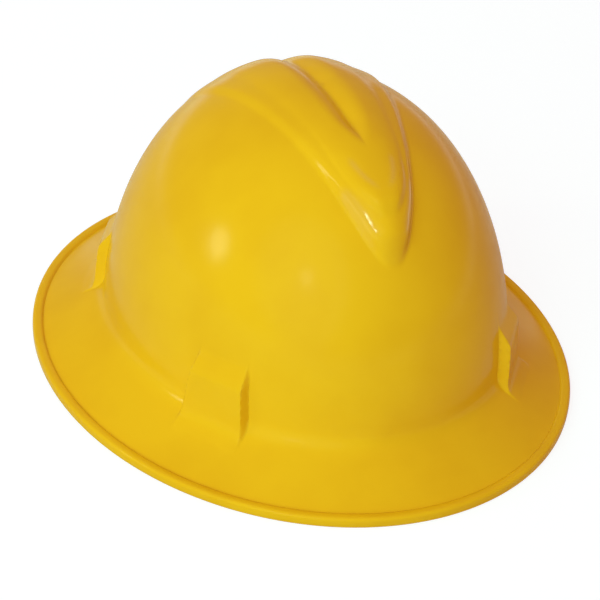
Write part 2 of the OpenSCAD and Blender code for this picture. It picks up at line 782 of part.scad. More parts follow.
// Racks: a curved strip with a toothed window. The left one has its teeth over the pinion.
tooth_pitch = 2 * PI * pinion_radius / pinion_teeth;
tooth_reach = 1.05;
tooth_root = 1.45;
pinion_tip = pinion_radius + 1.05;
// Travel of each rack past the pinion, which the knob's turns allow
tighten_travel = 16.8;
loosen_travel = 5.1;
rack_free_turn = 14;
rack_joint_turn = 24;
module tooth_gap(radius, depth) {
    z0 = pinion_radius - tooth_reach - 0.3;
    z1 = pinion_radius + tooth_root;
    mid = 0.29 * tooth_pitch;
    lean = tan(21);
    w0 = mid + lean * (pinion_radius - z0);
    w1 = mid - lean * (z1 - pinion_radius);
    translate([0, radius + depth / 2, 0]) rotate([90, 0, 0]) linear_extrude(depth)
        polygon([[-w0, z0], [w0, z0], [w1, z1], [-w1, z1]]);
}
module rack(radius) {
    low = radius - rack_thick / 2;
    high = radius + rack_thick / 2;
    half = side_height / 2 - 0.4;
    step = tooth_pitch / radius * 180 / PI;
    clear = pinion_tip + 0.4;
    window_from = -(loosen_travel + clear) / radius * 180 / PI;
    window_to = (tighten_travel + clear) / radius * 180 / PI;
    middle = (rack_joint_turn - rack_free_turn) / 2;
    window_middle = (window_to + window_from) / 2;
    difference() {
        rotate([0, 0, -middle]) sector(low, high, -half, half,
                                       (rack_joint_turn + rack_free_turn) / 2);
        rotate([0, 0, -window_middle]) sector(low - 1, high + 1, -clear, pinion_radius - tooth_reach,
                                              (window_to - window_from) / 2);
        for (k = [ceil((window_from + 1) / step):floor((window_to - 1) / step)])
            rotate([0, 0, -k * step]) tooth_gap(radius, rack_thick + 2);
    }
}
module rack_left() {
    color(BAND_COLOUR) at_ratchet() rack(rack_radius - layer_step);
}
module rack_right() {
    color(BAND_COLOUR) at_ratchet() rotate([0, 180, 0]) rack(rack_radius + layer_step);
}

// Side straps: the flexible part of the band from the temple to the ratchet's mouth.
strap_end_gap = 0.35;
function strap_layer(side, t) =
    side * -layer_step * smooth((t - temple_turn) / 40);
module side_strap(side) {
    mouth = asin((rack_radius * sin(rack_joint_turn) + strap_end_gap) / band_half_width);
    last = 180 - mouth;
    count = 26;
    ts = [for (i = [0:count]) mix(temple_turn, last, i / count)];
    half = band_thick / 2 - 0.1;
    outer = [for (t = ts) loop_point(side, t, strap_layer(side, t) + half)];
    inner = [for (i = [count:-1:0])
        loop_point(side, ts[i], strap_layer(side, ts[i]) - half)];
    color(BAND_COLOUR) translate([0, 0, band_z - side_height / 2])
        linear_extrude(side_height) polygon(concat(outer, inner));
}

// Nape hangers: a slotted plate on each rear key and an arm that runs back to the ratchet.
arm_height = 11;
arm_layer = cover_high + fit + hanger_thick / 2;
arm_end_turn = 15;
arm_join_turn = 23;
nape_rivet_turn = 18.5;
module nape_rivet_places() {
    for (turn = [-nape_rivet_turn, nape_rivet_turn])
        rotate([0, 0, turn]) translate([0, cover_high - 2, 0]) rotate([-90, 0, 0]) children();
}
module nape_hanger(side) {
    p = key_place(side, REAR);
    d = key_out(side, REAR);
    back = [-side * abs(d[1]), abs(d[0])];
    a = p + d * (hanger_in + hanger_thick / 2) + back * (hanger_width / 2 - 2);
    function nape(turn) = [side * arm_layer * sin(turn), ratchet_y + arm_layer * cos(turn)];
    b = nape(arm_join_turn);
    b_way = [side * cos(arm_join_turn), -sin(arm_join_turn)];
    line = concat(
        [for (u = [0:1 / 16:1]) bezier(a, a + back * 20, b + b_way * 24, b, u)],
        [for (turn = [arm_join_turn - 2:-2:arm_end_turn]) nape(turn)]
    );
    last = len(line) - 1;
    edge = [
        for (i = [0:last])
            let (way = unit(line[min(last, i + 1)] - line[max(0, i - 1)])) [-way[1], way[0]]
    ];
    half = hanger_thick / 2;
    color(BAND_COLOUR) difference() {
        union() {
            at_key(side, REAR) hanger_plate();
            translate([0, 0, band_z - arm_height / 2]) linear_extrude(arm_height)
                polygon(concat([for (i = [0:last]) line[i] + edge[i] * half],
                               [for (i = [last:-1:0]) line[i] - edge[i] * half]));
        }
        at_key(side, REAR) stud_slot();
        at_ratchet() nape_rivet_places() cylinder(r = rivet_radius + run_gap, h = 9);
    }
}
module nape_rivets() {
    color(METAL_COLOUR) at_ratchet() nape_rivet_places() {
        cylinder(r = rivet_radius, h = 2 + fit + hanger_thick + 0.3);
        translate([0, 0, 2 + fit + hanger_thick + 0.15]) cylinder(r = rivet_radius + 1.2, h = 0.9);
    }
}

// Pinion, knob, click spring and screw.
knob_low = cover_high + 0.8;
knob_high = knob_low + knob_depth;
square_side = 5;
shaft_end = knob_high - 4.4;
knob_skirt = 2.6;
click_teeth = 24;
click_depth = 0.6;
module gear_tooth() {
    tip = 0.4;
    pitch_half = 0.2 * tooth_pitch;
    root = 1.2;
    base = pinion_radius - 1.5;
    polygon([[-root, 0], [root, 0], [root, base], [pitch_half, pinion_radius],
             [tip, pinion_tip], [-tip, pinion_tip], [-pitch_half, pinion_radius], [-root, base]]);
}
// The gear's flat face stays clear of the cover's hollow side
gear_face = channel_high - pow(pinion_tip, 2) / (2 * channel_high) - 0.1;
module pinion() {
    color(KEY_COLOUR) at_ratchet() difference() {
        union() {
            translate([0, gear_face, 0]) rotate([90, 0, 0])
                linear_extrude(gear_face - channel_low - 0.15) union() {
                    circle(r = pinion_radius - 1.4);
                    for (i = [0:pinion_teeth - 1]) rotate(i * 360 / pinion_teeth) gear_tooth();
                }
            translate([0, channel_low - pilot_length, 0]) rotate([-90, 0, 0])
                cylinder(r = pilot_radius, h = pilot_length + 0.5);
            translate([0, channel_high - 0.5, 0]) rotate([-90, 0, 0])
                cylinder(r = shaft_radius, h = cover_high + boss_length - channel_high + 0.5);
            translate([-square_side / 2, cover_high + boss_length - 0.5, -square_side / 2])
                cube([square_side, shaft_end - cover_high - boss_length + 0.5, square_side]);
        }
        translate([0, shaft_end - 6.5, 0]) rotate([-90, 0, 0])
            cylinder(r = screw_radius + run_gap, h = 8);
    }
}
screw_radius = 1.25;
screw_head = 2.6;
module ratchet_knob() {
    color(KEY_COLOUR) at_ratchet() difference() {
        translate([0, knob_low, 0]) rotate([-90, 0, 0]) union() {
            cylinder(r = knob_radius - 1.1, h = knob_depth - 1);
            cylinder(r = knob_radius - 2.4, h = knob_depth);
            for (i = [0:11]) rotate([0, 0, i * 30]) translate([knob_radius - 3, 0, 0])
                cylinder(r = 3, h = knob_depth - 1.4);
        }
        translate([0, knob_low - 1, 0]) rotate([-90, 0, 0])
            cylinder(r = knob_radius - knob_skirt - 1.6, h = boss_length + 1.2);
        for (i = [0:click_teeth - 1]) rotate([0, i * 360 / click_teeth, 0])
            translate([0, knob_low - 1, knob_radius - knob_skirt - 1.7]) rotate([-90, 0, 0])
                cylinder(r = click_depth + 0.1, h = 4);
        translate([-square_side / 2 - run_gap, knob_low, -square_side / 2 - run_gap])
            cube([square_side + 2 * run_gap, shaft_end - knob_low + 0.1, square_side + 2 * run_gap]);
        translate([0, knob_low, 0]) rotate([-90, 0, 0]) cylinder(r = screw_radius + 0.2, h = 20);
        translate([0, knob_high - 3, 0]) rotate([-90, 0, 0]) cylinder(r = screw_head + 0.3, h = 4);
        translate([0, knob_high - 0.8, 0]) rotate([-90, 0, 0])
            difference() {
                cylinder(r = knob_radius - 4.2, h = 2);
                translate([0, 0, -1]) cylinder(r = screw_head + 2.2, h = 4);
            }
    }
}
module knob_screw() {
    color(METAL_COLOUR) at_ratchet() difference() {
        union() {
            translate([0, knob_high - 3, 0]) rotate([-90, 0, 0]) cylinder(r = screw_head, h = 1.9);
            translate([0, shaft_end - 6, 0]) rotate([-90, 0, 0])
                cylinder(r = screw_radius, h = knob_high - 3 - shaft_end + 6.5);
        }
        for (turn = [0, 90]) rotate([0, turn, 0])
            translate([-1.7, knob_high - 2, -0.35]) cube([3.4, 3, 0.7]);
    }
}
module detent_spring() {
    ring_in = boss_radius + run_gap;
    reach = knob_radius - knob_skirt - 1.6 - 0.15;
    color(METAL_COLOUR) at_ratchet() translate([0, cover_high + 1, 0]) rotate([-90, 0, 0])
        difference() {
            union() {
                cylinder(r = ring_in + 1, h = 2.4);
                for (turn = [0, 180]) rotate([0, 0, turn]) {
                    translate([-1, ring_in, 0]) cube([2, reach - ring_in - 1.1, 2.4]);
                    rotate([0, 0, 30]) rotate_extrude(angle = 62, $fn = 120)
                        translate([reach - 1.7, 0]) square([0.8, 2.4]);
                    rotate([0, 0, 32]) translate([reach - 0.85, 0, 0]) cylinder(r = 0.9, h = 2.4);
                }
            }
            translate([0, 0, -1]) cylinder(r = ring_in, h = 5);
        }
}
module nape_pad() {
    steps = 20;
    turn = housing_half_turn - 3;
    rows = [
        for (i = [0:steps])
            let (
                v = i / steps,
                a = mix(turn, -turn, v),
                end = sqrt(clamp01(1 - pow(abs(2 * v - 1), 8))),
                section = pad_section((housing_height - 6) * mix(0.6, 1, end), brow_pad_thick,
                                      mix(0.3, 1, end) * (1 - 0.3 * pow(abs(cos(540 * v)), 10)), 12)
            )
            [for (q = section)
                let (r = back_low - brow_pad_gap - 0.3 - q[0])
                [r * sin(a), ratchet_y + r * cos(a), band_z + q[1]]]
    ];
    color(PAD_COLOUR) skin_along(rows);
}

shell();
key(LEFT, FRONT);  // key_front_left
key(RIGHT, FRONT);  // key_front_right
key(LEFT, REAR);  // key_rear_left
key(RIGHT, REAR);  // key_rear_right
strap(LEFT, 0);  // crown_strap_lower
strap(RIGHT, strap_thick + crossing_gap);  // crown_strap_upper
headband();
brow_pad();
front_hanger(LEFT);  // hanger_front_left
front_hanger(RIGHT);  // hanger_front_right
side_strap(LEFT);  // side_strap_left
side_strap(RIGHT);  // side_strap_right
nape_hanger(LEFT);  // nape_hanger_left
nape_hanger(RIGHT);  // nape_hanger_right
hanger_rivets();
ratchet_cover();
ratchet_back_plate();
plate_rivets();
nape_rivets();
detent_spring();
nape_pad();
rack_left();
rack_right();
pinion();
ratchet_knob();
knob_screw();
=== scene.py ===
# %% [markdown]
# A full-brim work helmet
#
# A hard hat is one thin moulded shell, with a suspension of plastic and webbing inside that keeps it
# off the head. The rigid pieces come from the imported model, which is the fixed frame of this scene.
# Here they get real finishes, and the shell, the webbing and the pads are built again in finer form.
# All lengths below are in millimetres, and MM turns them into Blender's metres.

# %% Load the frame
import math

import bmesh
import bpy
import numpy as np
from mathutils import Matrix, Vector


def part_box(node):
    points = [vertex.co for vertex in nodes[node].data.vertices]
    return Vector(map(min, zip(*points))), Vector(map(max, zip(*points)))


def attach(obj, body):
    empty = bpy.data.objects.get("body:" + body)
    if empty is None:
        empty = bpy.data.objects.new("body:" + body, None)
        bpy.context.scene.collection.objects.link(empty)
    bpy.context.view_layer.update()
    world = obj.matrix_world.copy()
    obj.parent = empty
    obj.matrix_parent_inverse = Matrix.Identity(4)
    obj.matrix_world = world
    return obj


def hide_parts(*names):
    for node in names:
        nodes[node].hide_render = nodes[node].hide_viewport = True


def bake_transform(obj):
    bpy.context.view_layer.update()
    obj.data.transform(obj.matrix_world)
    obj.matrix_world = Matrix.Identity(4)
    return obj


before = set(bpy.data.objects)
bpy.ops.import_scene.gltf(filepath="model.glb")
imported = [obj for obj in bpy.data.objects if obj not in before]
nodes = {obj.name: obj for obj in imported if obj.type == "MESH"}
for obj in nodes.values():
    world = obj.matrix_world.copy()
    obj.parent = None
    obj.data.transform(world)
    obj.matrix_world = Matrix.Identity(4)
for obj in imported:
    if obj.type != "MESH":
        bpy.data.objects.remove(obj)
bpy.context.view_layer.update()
MM = 0.001
scene = bpy.context.scene

# %% [markdown]
# The camera
#
# The picture was taken from in front, a little to the wearer's right and from above, with a long
# lens. The view is stated as a photographer would say it: round, up, tilt and distance.

# %% Place the camera
VIEW_ROUND = math.radians(-24.03)
VIEW_UP = math.radians(28.88)
VIEW_TILT = math.radians(4.55)
VIEW_DISTANCE = 846.4
CROWN_FORWARD = 3.5
AIM = Vector((0, -CROWN_FORWARD, 60))
FRAME_PIXELS = 600
FOCAL_PIXELS = 1623.0
PICTURE_MIDDLE = (307.63, 240.33)
SENSOR = 36.0

back = Vector((math.sin(VIEW_ROUND) * math.cos(VIEW_UP),
               -math.cos(VIEW_ROUND) * math.cos(VIEW_UP),
               math.sin(VIEW_UP)))
level_right = Vector((math.cos(VIEW_ROUND), math.sin(VIEW_ROUND), 0))
level_up = back.cross(level_right)
right = math.cos(VIEW_TILT) * level_right + math.sin(VIEW_TILT) * level_up
up = -math.sin(VIEW_TILT) * level_right + math.cos(VIEW_TILT) * level_up

lens = bpy.data.cameras.new("photo_lens")
lens.sensor_width = SENSOR
lens.lens = FOCAL_PIXELS / FRAME_PIXELS * SENSOR
lens.shift_x = (FRAME_PIXELS / 2 - PICTURE_MIDDLE[0]) / FRAME_PIXELS
lens.shift_y = (PICTURE_MIDDLE[1] - FRAME_PIXELS / 2) / FRAME_PIXELS
camera = bpy.data.objects.new("photo_camera", lens)
scene.collection.objects.link(camera)
axes = Matrix((right, up, back)).transposed().to_4x4()
camera.matrix_world = Matrix.Translation((AIM + back * VIEW_DISTANCE) * MM) @ axes
scene.camera = camera
print("lens in mm:", round(lens.lens, 1))

# %% [markdown]
# Colours and nodes
#
# A colour picked from a screen is in sRGB, while a shader works in linear light, so every colour goes
# through one function. Materials are trees of nodes, and one small function adds a node with its
# settings, the constants of its sockets and the links into it.

# %% Colour and node helpers
def linear(hex_colour):
    """The linear red, green, blue and alpha of an sRGB hex colour."""
    channels = [int(hex_colour[i:i + 2], 16) / 255 for i in (1, 3, 5)]
    return [c / 12.92 if c <= 0.04045 else ((c + 0.055) / 1.055) ** 2.4 for c in channels] + [1.0]


def add(tree, kind, sockets=None, links=None, **settings):
    """A new node of that kind, with its settings, its sockets' constants and the outputs linked into it."""
    node = tree.nodes.new(kind)
    for name, value in settings.items():
        setattr(node, name, value)
    for name, value in (sockets or {}).items():
        node.inputs[name].default_value = value
    for name, output in (links or {}).items():
        tree.links.new(output, node.inputs[name])
    return node


def new_material(name):
    """A material with an empty tree."""
    material = bpy.data.materials.new(name)
    material.use_nodes = True
    material.node_tree.nodes.clear()
    return material, material.node_tree


def per_mm(spacing):
    """The texture scale at which a pattern repeats about once in that many millimetres."""
    return 1 / (spacing * MM)


# Sockets of a colour mix, by place: its factor, its two colours and its result
FACTOR, FIRST, SECOND, MIXED = 0, 6, 7, 2

# %% [markdown]
# Moulded plastics
#
# The shell is injection-moulded high-density polyethylene with the colour all through. Straight from
# a polished mould it is glossy, with a faint waviness like orange peel, and handling leaves soft dull
# patches. The suspension is polypropylene and nylon from spark-eroded moulds, so its black surface is
# satin and finely pitted. Both are dielectrics with an index of refraction of about 1.5. The shell's
# waxy plastic mirrors less than that index says, so its specular level is lower. One function makes
# each plastic, because they differ only in colour, shine and the size of their grain.

# %% Plastic materials
PLASTIC_IOR = 1.5
PATCH_SPACING = 38
PATCH_FROM = 0.42
PATCH_TO = 0.68
# Roughness and index of the glassy coat that is the shell's painted highlight
HIGHLIGHT_COAT_ROUGHNESS = 0.1
HIGHLIGHT_COAT_IOR = 2.0


def moulded_plastic(name, colour, dull_colour, shine, gloss, dullness, wave, wave_depth,
                    grain, grain_depth, highlight_coated=False):
    """Plastic with soft dull patches, the waviness of its mould and a fine grain, sizes in mm.
    If asked, a glassy coat is laid on as a painted highlight where the mesh's coat attribute is 1."""
    material, tree = new_material(name)
    place = add(tree, "ShaderNodeTexCoord").outputs["Object"]
    patches = add(tree, "ShaderNodeTexNoise", {"Scale": per_mm(PATCH_SPACING), "Detail": 3.0},
                  {"Vector": place})
    cloud = add(tree, "ShaderNodeMapRange", {"From Min": PATCH_FROM, "From Max": PATCH_TO},
                {"Value": patches.outputs["Fac"]}).outputs["Result"]
    tint = add(tree, "ShaderNodeMix", {FIRST: linear(colour), SECOND: linear(dull_colour)},
               {FACTOR: cloud}, data_type="RGBA").outputs[MIXED]
    rough = add(tree, "ShaderNodeMapRange", {"To Min": gloss, "To Max": dullness},
                {"Value": cloud}).outputs["Result"]
    peel = add(tree, "ShaderNodeTexNoise", {"Scale": per_mm(wave), "Detail": 1.0}, {"Vector": place})
    pits = add(tree, "ShaderNodeTexNoise", {"Scale": per_mm(grain), "Detail": 2.0}, {"Vector": place})
    waves = add(tree, "ShaderNodeBump", {"Distance": wave_depth * MM}, {"Height": peel.outputs["Fac"]})
    fine = add(tree, "ShaderNodeBump", {"Distance": grain_depth * MM},
               {"Height": pits.outputs["Fac"], "Normal": waves.outputs["Normal"]})
    shader = add(tree, "ShaderNodeBsdfPrincipled",
                 {"IOR": PLASTIC_IOR, "Specular IOR Level": shine,
                  "Coat Roughness": HIGHLIGHT_COAT_ROUGHNESS, "Coat IOR": HIGHLIGHT_COAT_IOR},
                 {"Base Color": tint, "Roughness": rough, "Normal": fine.outputs["Normal"]})
    # The glassy coat is a painted highlight, laid only where the mesh's attribute says
    if highlight_coated:
        highlight_mask = add(tree, "ShaderNodeAttribute", attribute_name="highlight_coat")
        tree.links.new(highlight_mask.outputs["Fac"], shader.inputs["Coat Weight"])
    add(tree, "ShaderNodeOutputMaterial", links={"Surface": shader.outputs["BSDF"]})
    return material


# The shell's plastic carries the painted highlight coat on the nose
polyethylene = moulded_plastic("polyethylene_glossy_yellow", "#F0C01B", "#ECBA19",
                               shine=0.14, gloss=0.16, dullness=0.22, wave=3.2, wave_depth=0.02,
                               grain=0.5, grain_depth=0.002, highlight_coated=True)
polypropylene = moulded_plastic("polypropylene_spark_textured_black", "#1B1C1E", "#232427",
                                shine=0.5, gloss=0.42, dullness=0.56, wave=2.4, wave_depth=0.02,
                                grain=0.35, grain_depth=0.03)
nylon = moulded_plastic("nylon_satin_black", "#17181A", "#1F2022",
                        shine=0.5, gloss=0.34, dullness=0.46, wave=3.0, wave_depth=0.02,
                        grain=0.3, grain_depth=0.015)
print("plastics:", polyethylene.name, polypropylene.name, nylon.name)

# %% [markdown]
# Metal
#
# The rivets, the click spring and the screw are steel with a thin coat of zinc. The coat is a clean
# grey metal with a cloudy crystal pattern. A metal keeps Blender's own index of refraction.

# %% Zinc-plated steel
CRYSTAL_SPACING = 0.6


def plated_steel(name, colour, bright_colour, gloss, dullness):
    """Steel under a thin coat of zinc, with the cloudy crystals that plating leaves."""
    material, tree = new_material(name)
    place = add(tree, "ShaderNodeTexCoord").outputs["Object"]
    crystals = add(tree, "ShaderNodeTexVoronoi", {"Scale": per_mm(CRYSTAL_SPACING)}, {"Vector": place})
    tint = add(tree, "ShaderNodeMix", {FIRST: linear(colour), SECOND: linear(bright_colour)},
               {FACTOR: crystals.outputs["Distance"]}, data_type="RGBA").outputs[MIXED]
    rough = add(tree, "ShaderNodeMapRange", {"To Min": gloss, "To Max": dullness},
                {"Value": crystals.outputs["Distance"]}).outputs["Result"]
    shader = add(tree, "ShaderNodeBsdfPrincipled", {"Metallic": 1.0},
                 {"Base Color": tint, "Roughness": rough})
    add(tree, "ShaderNodeOutputMaterial", links={"Surface": shader.outputs["BSDF"]})
    return material


zinc_plated_steel = plated_steel("steel_zinc_plated", "#B8BCC2", "#D2D4D6", gloss=0.24, dullness=0.4)
print("metal:", zinc_plated_steel.name)

# %% [markdown]
# Woven webbing
#
# The crown straps are polyester webbing, a thick narrow cloth in plain weave. Its yarns lie about
# 1.1 mm apart and go over and under each other in turn. The strap's mesh carries its own length and
# width in millimetres as texture coordinates, so that the weave follows every bend. Two sine ridges,
# one for each set of yarns, take turns on a chequered board to give the over and under.

# %% Webbing material
YARN_SPACING = 1.1
YARN_HEIGHT = 0.22
HAIRS_PER_MM = 9.0
HAIR_HEIGHT = 0.04


def woven_webbing(name, colour, deep_colour):
    """Plain weave over texture coordinates in mm, darker between the yarns, with a fine fuzz."""
    material, tree = new_material(name)
    place = add(tree, "ShaderNodeTexCoord").outputs["UV"]
    parts = add(tree, "ShaderNodeSeparateXYZ", links={"Vector": place})
    board = add(tree, "ShaderNodeTexChecker", {"Scale": 1 / YARN_SPACING}, {"Vector": place})
    ridges = []
    for side in ("X", "Y"):
        turn = add(tree, "ShaderNodeMath", {1: math.pi / YARN_SPACING}, {0: parts.outputs[side]},
                   operation="MULTIPLY")
        wave = add(tree, "ShaderNodeMath", links={0: turn.outputs[0]}, operation="SINE")
        ridges.append(add(tree, "ShaderNodeMath", links={0: wave.outputs[0]}, operation="ABSOLUTE"))
    height = add(tree, "ShaderNodeMix", links={FACTOR: board.outputs["Fac"], 2: ridges[0].outputs[0],
                                               3: ridges[1].outputs[0]}, data_type="FLOAT")
    hairs = add(tree, "ShaderNodeTexNoise", {"Scale": HAIRS_PER_MM, "Detail": 2.0}, {"Vector": place})
    tint = add(tree, "ShaderNodeMix", {FIRST: linear(deep_colour), SECOND: linear(colour)},
               {FACTOR: height.outputs[0]}, data_type="RGBA").outputs[MIXED]
    yarns = add(tree, "ShaderNodeBump", {"Distance": YARN_HEIGHT * MM}, {"Height": height.outputs[0]})
    fuzz = add(tree, "ShaderNodeBump", {"Distance": HAIR_HEIGHT * MM},
               {"Height": hairs.outputs["Fac"], "Normal": yarns.outputs["Normal"]})
    shader = add(tree, "ShaderNodeBsdfPrincipled",
                 {"Roughness": 0.78, "Sheen Weight": 0.25, "Sheen Roughness": 0.5},
                 {"Base Color": tint, "Normal": fuzz.outputs["Normal"]})
    add(tree, "ShaderNodeOutputMaterial", links={"Surface": shader.outputs["BSDF"]})
    return material


polyester_webbing = woven_webbing("polyester_plain_woven_grey", "#4A4D52", "#1D1F22")
print("webbing:", polyester_webbing.name, "yarns per cm:", round(10 / YARN_SPACING, 1))

# %% [markdown]
# Pad cloth
#
# The sweat pads are foam under a looped terry cloth. The loops are about 0.9 mm across and stand at
# random, so a cell pattern in the object's own coordinates gives them without any seams.

# %% Terry cloth material
LOOP_RANDOMNESS = 0.85
SHADE_SPACING = 14
PILE_HEIGHT = 0.35


def terry_cloth(name, colour, deep_colour, loop):
    """Cloth of small loops, loop mm across, that are darker between and shade softly over the cloth."""
    material, tree = new_material(name)
    place = add(tree, "ShaderNodeTexCoord").outputs["Object"]
    loops = add(tree, "ShaderNodeTexVoronoi", {"Scale": per_mm(loop), "Randomness": LOOP_RANDOMNESS},
                {"Vector": place}, feature="SMOOTH_F1")
    shade = add(tree, "ShaderNodeTexNoise", {"Scale": per_mm(SHADE_SPACING), "Detail": 2.0},
                {"Vector": place})
    height = add(tree, "ShaderNodeMath", {0: 1.0}, {1: loops.outputs["Distance"]}, operation="SUBTRACT")
    deep = add(tree, "ShaderNodeMath", links={0: height.outputs[0], 1: shade.outputs["Fac"]},
               operation="MULTIPLY")
    tint = add(tree, "ShaderNodeMix", {FIRST: linear(deep_colour), SECOND: linear(colour)},
               {FACTOR: deep.outputs[0]}, data_type="RGBA").outputs[MIXED]
    pile = add(tree, "ShaderNodeBump", {"Distance": PILE_HEIGHT * MM}, {"Height": height.outputs[0]})
    shader = add(tree, "ShaderNodeBsdfPrincipled",
                 {"Roughness": 0.92, "Sheen Weight": 0.45, "Sheen Roughness": 0.6},
                 {"Base Color": tint, "Normal": pile.outputs["Normal"]})
    add(tree, "ShaderNodeOutputMaterial", links={"Surface": shader.outputs["BSDF"]})
    return material


terry = terry_cloth("terry_cloth_grey", "#85888D", "#2A2C30", loop=0.9)
edge_tape = terry_cloth("edge_tape_knitted_black", "#2A2B2E", "#101113", loop=0.5)
print("pad cloths:", terry.name, edge_tape.name)

# %% Sewing thread material
PLY_SPACING = 0.5
PLY_HEIGHT = 0.05


def thread(name, colour, deep_colour):
    """Twisted polyester thread; its plies are drawn as fine bands."""
    material, tree = new_material(name)
    place = add(tree, "ShaderNodeTexCoord").outputs["Object"]
    plies = add(tree, "ShaderNodeTexNoise", {"Scale": per_mm(PLY_SPACING)}, {"Vector": place})
    lay = add(tree, "ShaderNodeBump", {"Distance": PLY_HEIGHT * MM}, {"Height": plies.outputs["Fac"]})
    shade = add(tree, "ShaderNodeMix", {FIRST: linear(deep_colour), SECOND: linear(colour)},
                {FACTOR: plies.outputs["Fac"]}, data_type="RGBA").outputs[MIXED]
    shader = add(tree, "ShaderNodeBsdfPrincipled", {"Roughness": 0.6, "Sheen Weight": 0.2},
                 {"Base Color": shade, "Normal": lay.outputs["Normal"]})
    add(tree, "ShaderNodeOutputMaterial", links={"Surface": shader.outputs["BSDF"]})
    return material


sewing_thread = thread("polyester_thread_pale_grey", "#B9BBBE", "#2C2D30")
print("thread:", sewing_thread.name)

# %% [markdown]
# Mesh helpers
#
# Every curved piece here is a stack of closed rings, so one function skins rings of equally many
# points and closes each end with a fan. Work is done in numpy in millimetres and scaled once.

# %% Skins over rings
def smooth(u):
    """A soft step from 0 to 1 as u goes from 0 to 1."""
    u = np.clip(u, 0, 1)
    return u * u * (3 - 2 * u)


def between(a, b, u):
    """The value a share u of the way from a to b."""
    return a + (b - a) * u


def make_object(name, points, faces, material):
    """An object from points in mm and faces, shaded smooth."""
    mesh = bpy.data.meshes.new(name)
    mesh.from_pydata((np.asarray(points) * MM).tolist(), [], faces)
    mesh.polygons.foreach_set("use_smooth", [True] * len(mesh.polygons))
    mesh.materials.append(material)
    piece = bpy.data.objects.new(name, mesh)
    scene.collection.objects.link(piece)
    return piece


def face_outwards(piece):
    """Turns every face of a closed mesh outwards."""
    work = bmesh.new()
    work.from_mesh(piece.data)
    bmesh.ops.recalc_face_normals(work, faces=work.faces)
    work.to_mesh(piece.data)
    work.free()


def skin_rings(name, rings, first, last, material):
    """A closed skin from the pole first, over rings of shape (rows, columns, 3), to the pole last."""
    rows, columns, _ = rings.shape
    points = np.concatenate([rings.reshape(-1, 3), [first], [last]])
    here = np.arange(rows * columns).reshape(rows, columns)
    along = np.roll(here, -1, axis=1)
    quads = np.stack([here[:-1], along[:-1], along[1:], here[1:]], axis=-1).reshape(-1, 4).tolist()
    top = rows * columns
    fans = [[top, int(along[0, i]), int(here[0, i])] for i in range(columns)]
    fans += [[top + 1, int(here[-1, i]), int(along[-1, i])] for i in range(columns)]
    piece = make_object(name, points, quads + fans, material)
    face_outwards(piece)
    return piece


# %% [markdown]
# The shell's form
#
# The crown is an ellipse in plan at every height. Going up, its size follows a superellipse, which
# is rounder at the shoulder than an ellipsoid. A fillet joins it to the brim, and the brim runs out
# to a raised rim. The whole outline, from the top of the dome down and back up the inside, is one
# list of rings, which is how a mould's cavity and core are drawn too.

# %% Shell dimensions
shell_low, shell_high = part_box("shell")
CROWN_HALF_LENGTH = 125.8
CROWN_HALF_WIDTH = 103.2
CROWN_FOOT = 20.9
CROWN_TOP = 147.0
SIDE_POWER = 2.44
TOP_POWER = 1.78
WALL = 2.5
BRIM_HALF_WIDTH = shell_high.x / MM
BRIM_HALF_LENGTH = (shell_high.y - shell_low.y) / 2 / MM
BRIM_REACH = BRIM_HALF_WIDTH - CROWN_HALF_WIDTH
BRIM_EDGE = 3.9
RIM_WIDTH = 5.5
RIM_TOP = BRIM_EDGE + 1.2
BRIM_FLAT = BRIM_REACH - RIM_WIDTH
FILLET_UP = 5.5
FILLET_OUT = 6.5
BRIM_POWER = 1.15
BRIM_WALL = WALL * 1.08
FILLET_WALL = WALL * 1.12
print("brim reach in mm:", round(BRIM_REACH, 1))


# %% Rings of the dome and the brim
def brim_top(w):
    """Height of the brim's top, w mm outside the foot of the crown."""
    return BRIM_EDGE + (CROWN_FOOT - BRIM_EDGE) * np.clip(1 - w / BRIM_FLAT, 0, 1) ** BRIM_POWER


def dome_ring(angle, inset):
    """Half width, half length, middle and height of the dome's ring at an angle in degrees."""
    shrink = np.cos(np.radians(angle)) ** (2 / SIDE_POWER)
    rise = np.sin(np.radians(angle)) ** (2 / TOP_POWER)
    return np.stack([(CROWN_HALF_WIDTH - inset) * shrink, (CROWN_HALF_LENGTH - inset) * shrink,
                     np.full_like(shrink, -CROWN_FORWARD),
                     CROWN_FOOT + (CROWN_TOP - inset - CROWN_FOOT) * rise], axis=-1)


def outer_ring(w, z):
    """The same for a ring w mm outside the foot of the crown, or inside where w is negative."""
    spread = np.clip(w, 0, None) / BRIM_REACH
    longer = BRIM_HALF_LENGTH - CROWN_HALF_LENGTH
    return np.stack([CROWN_HALF_WIDTH + w, CROWN_HALF_LENGTH + np.minimum(w, 0) + spread * longer,
                     -CROWN_FORWARD * (1 - spread), z], axis=-1)


def dome_angle(height, inset):
    """The angle in degrees of the dome's ring that lies height mm over the crown's foot."""
    return math.degrees(math.asin((height / (CROWN_TOP - inset - CROWN_FOOT)) ** (TOP_POWER / 2)))


def bent_line(a, b, c, count):
    """Points on the curve from a to c that is pulled towards b."""
    u = np.linspace(0, 1, count)[:, None]
    return np.array(a) * (1 - u) ** 2 + np.array(b) * 2 * u * (1 - u) + np.array(c) * u ** 2


def round_corners(line, times):
    """Cuts the corners of an open line again and again, which leaves smooth bends."""
    for _ in range(times):
        quarter = line[:-1] * 0.75 + line[1:] * 0.25
        three_quarters = line[:-1] * 0.25 + line[1:] * 0.75
        cut = np.stack([quarter, three_quarters], axis=1).reshape(-1, 2)
        line = np.concatenate([line[:1], cut, line[-1:]])
    return line


# %% The shell's profile, from the crown over the rim and back under the brim
BRIM_RINGS = 18
UNDER_RINGS = 14

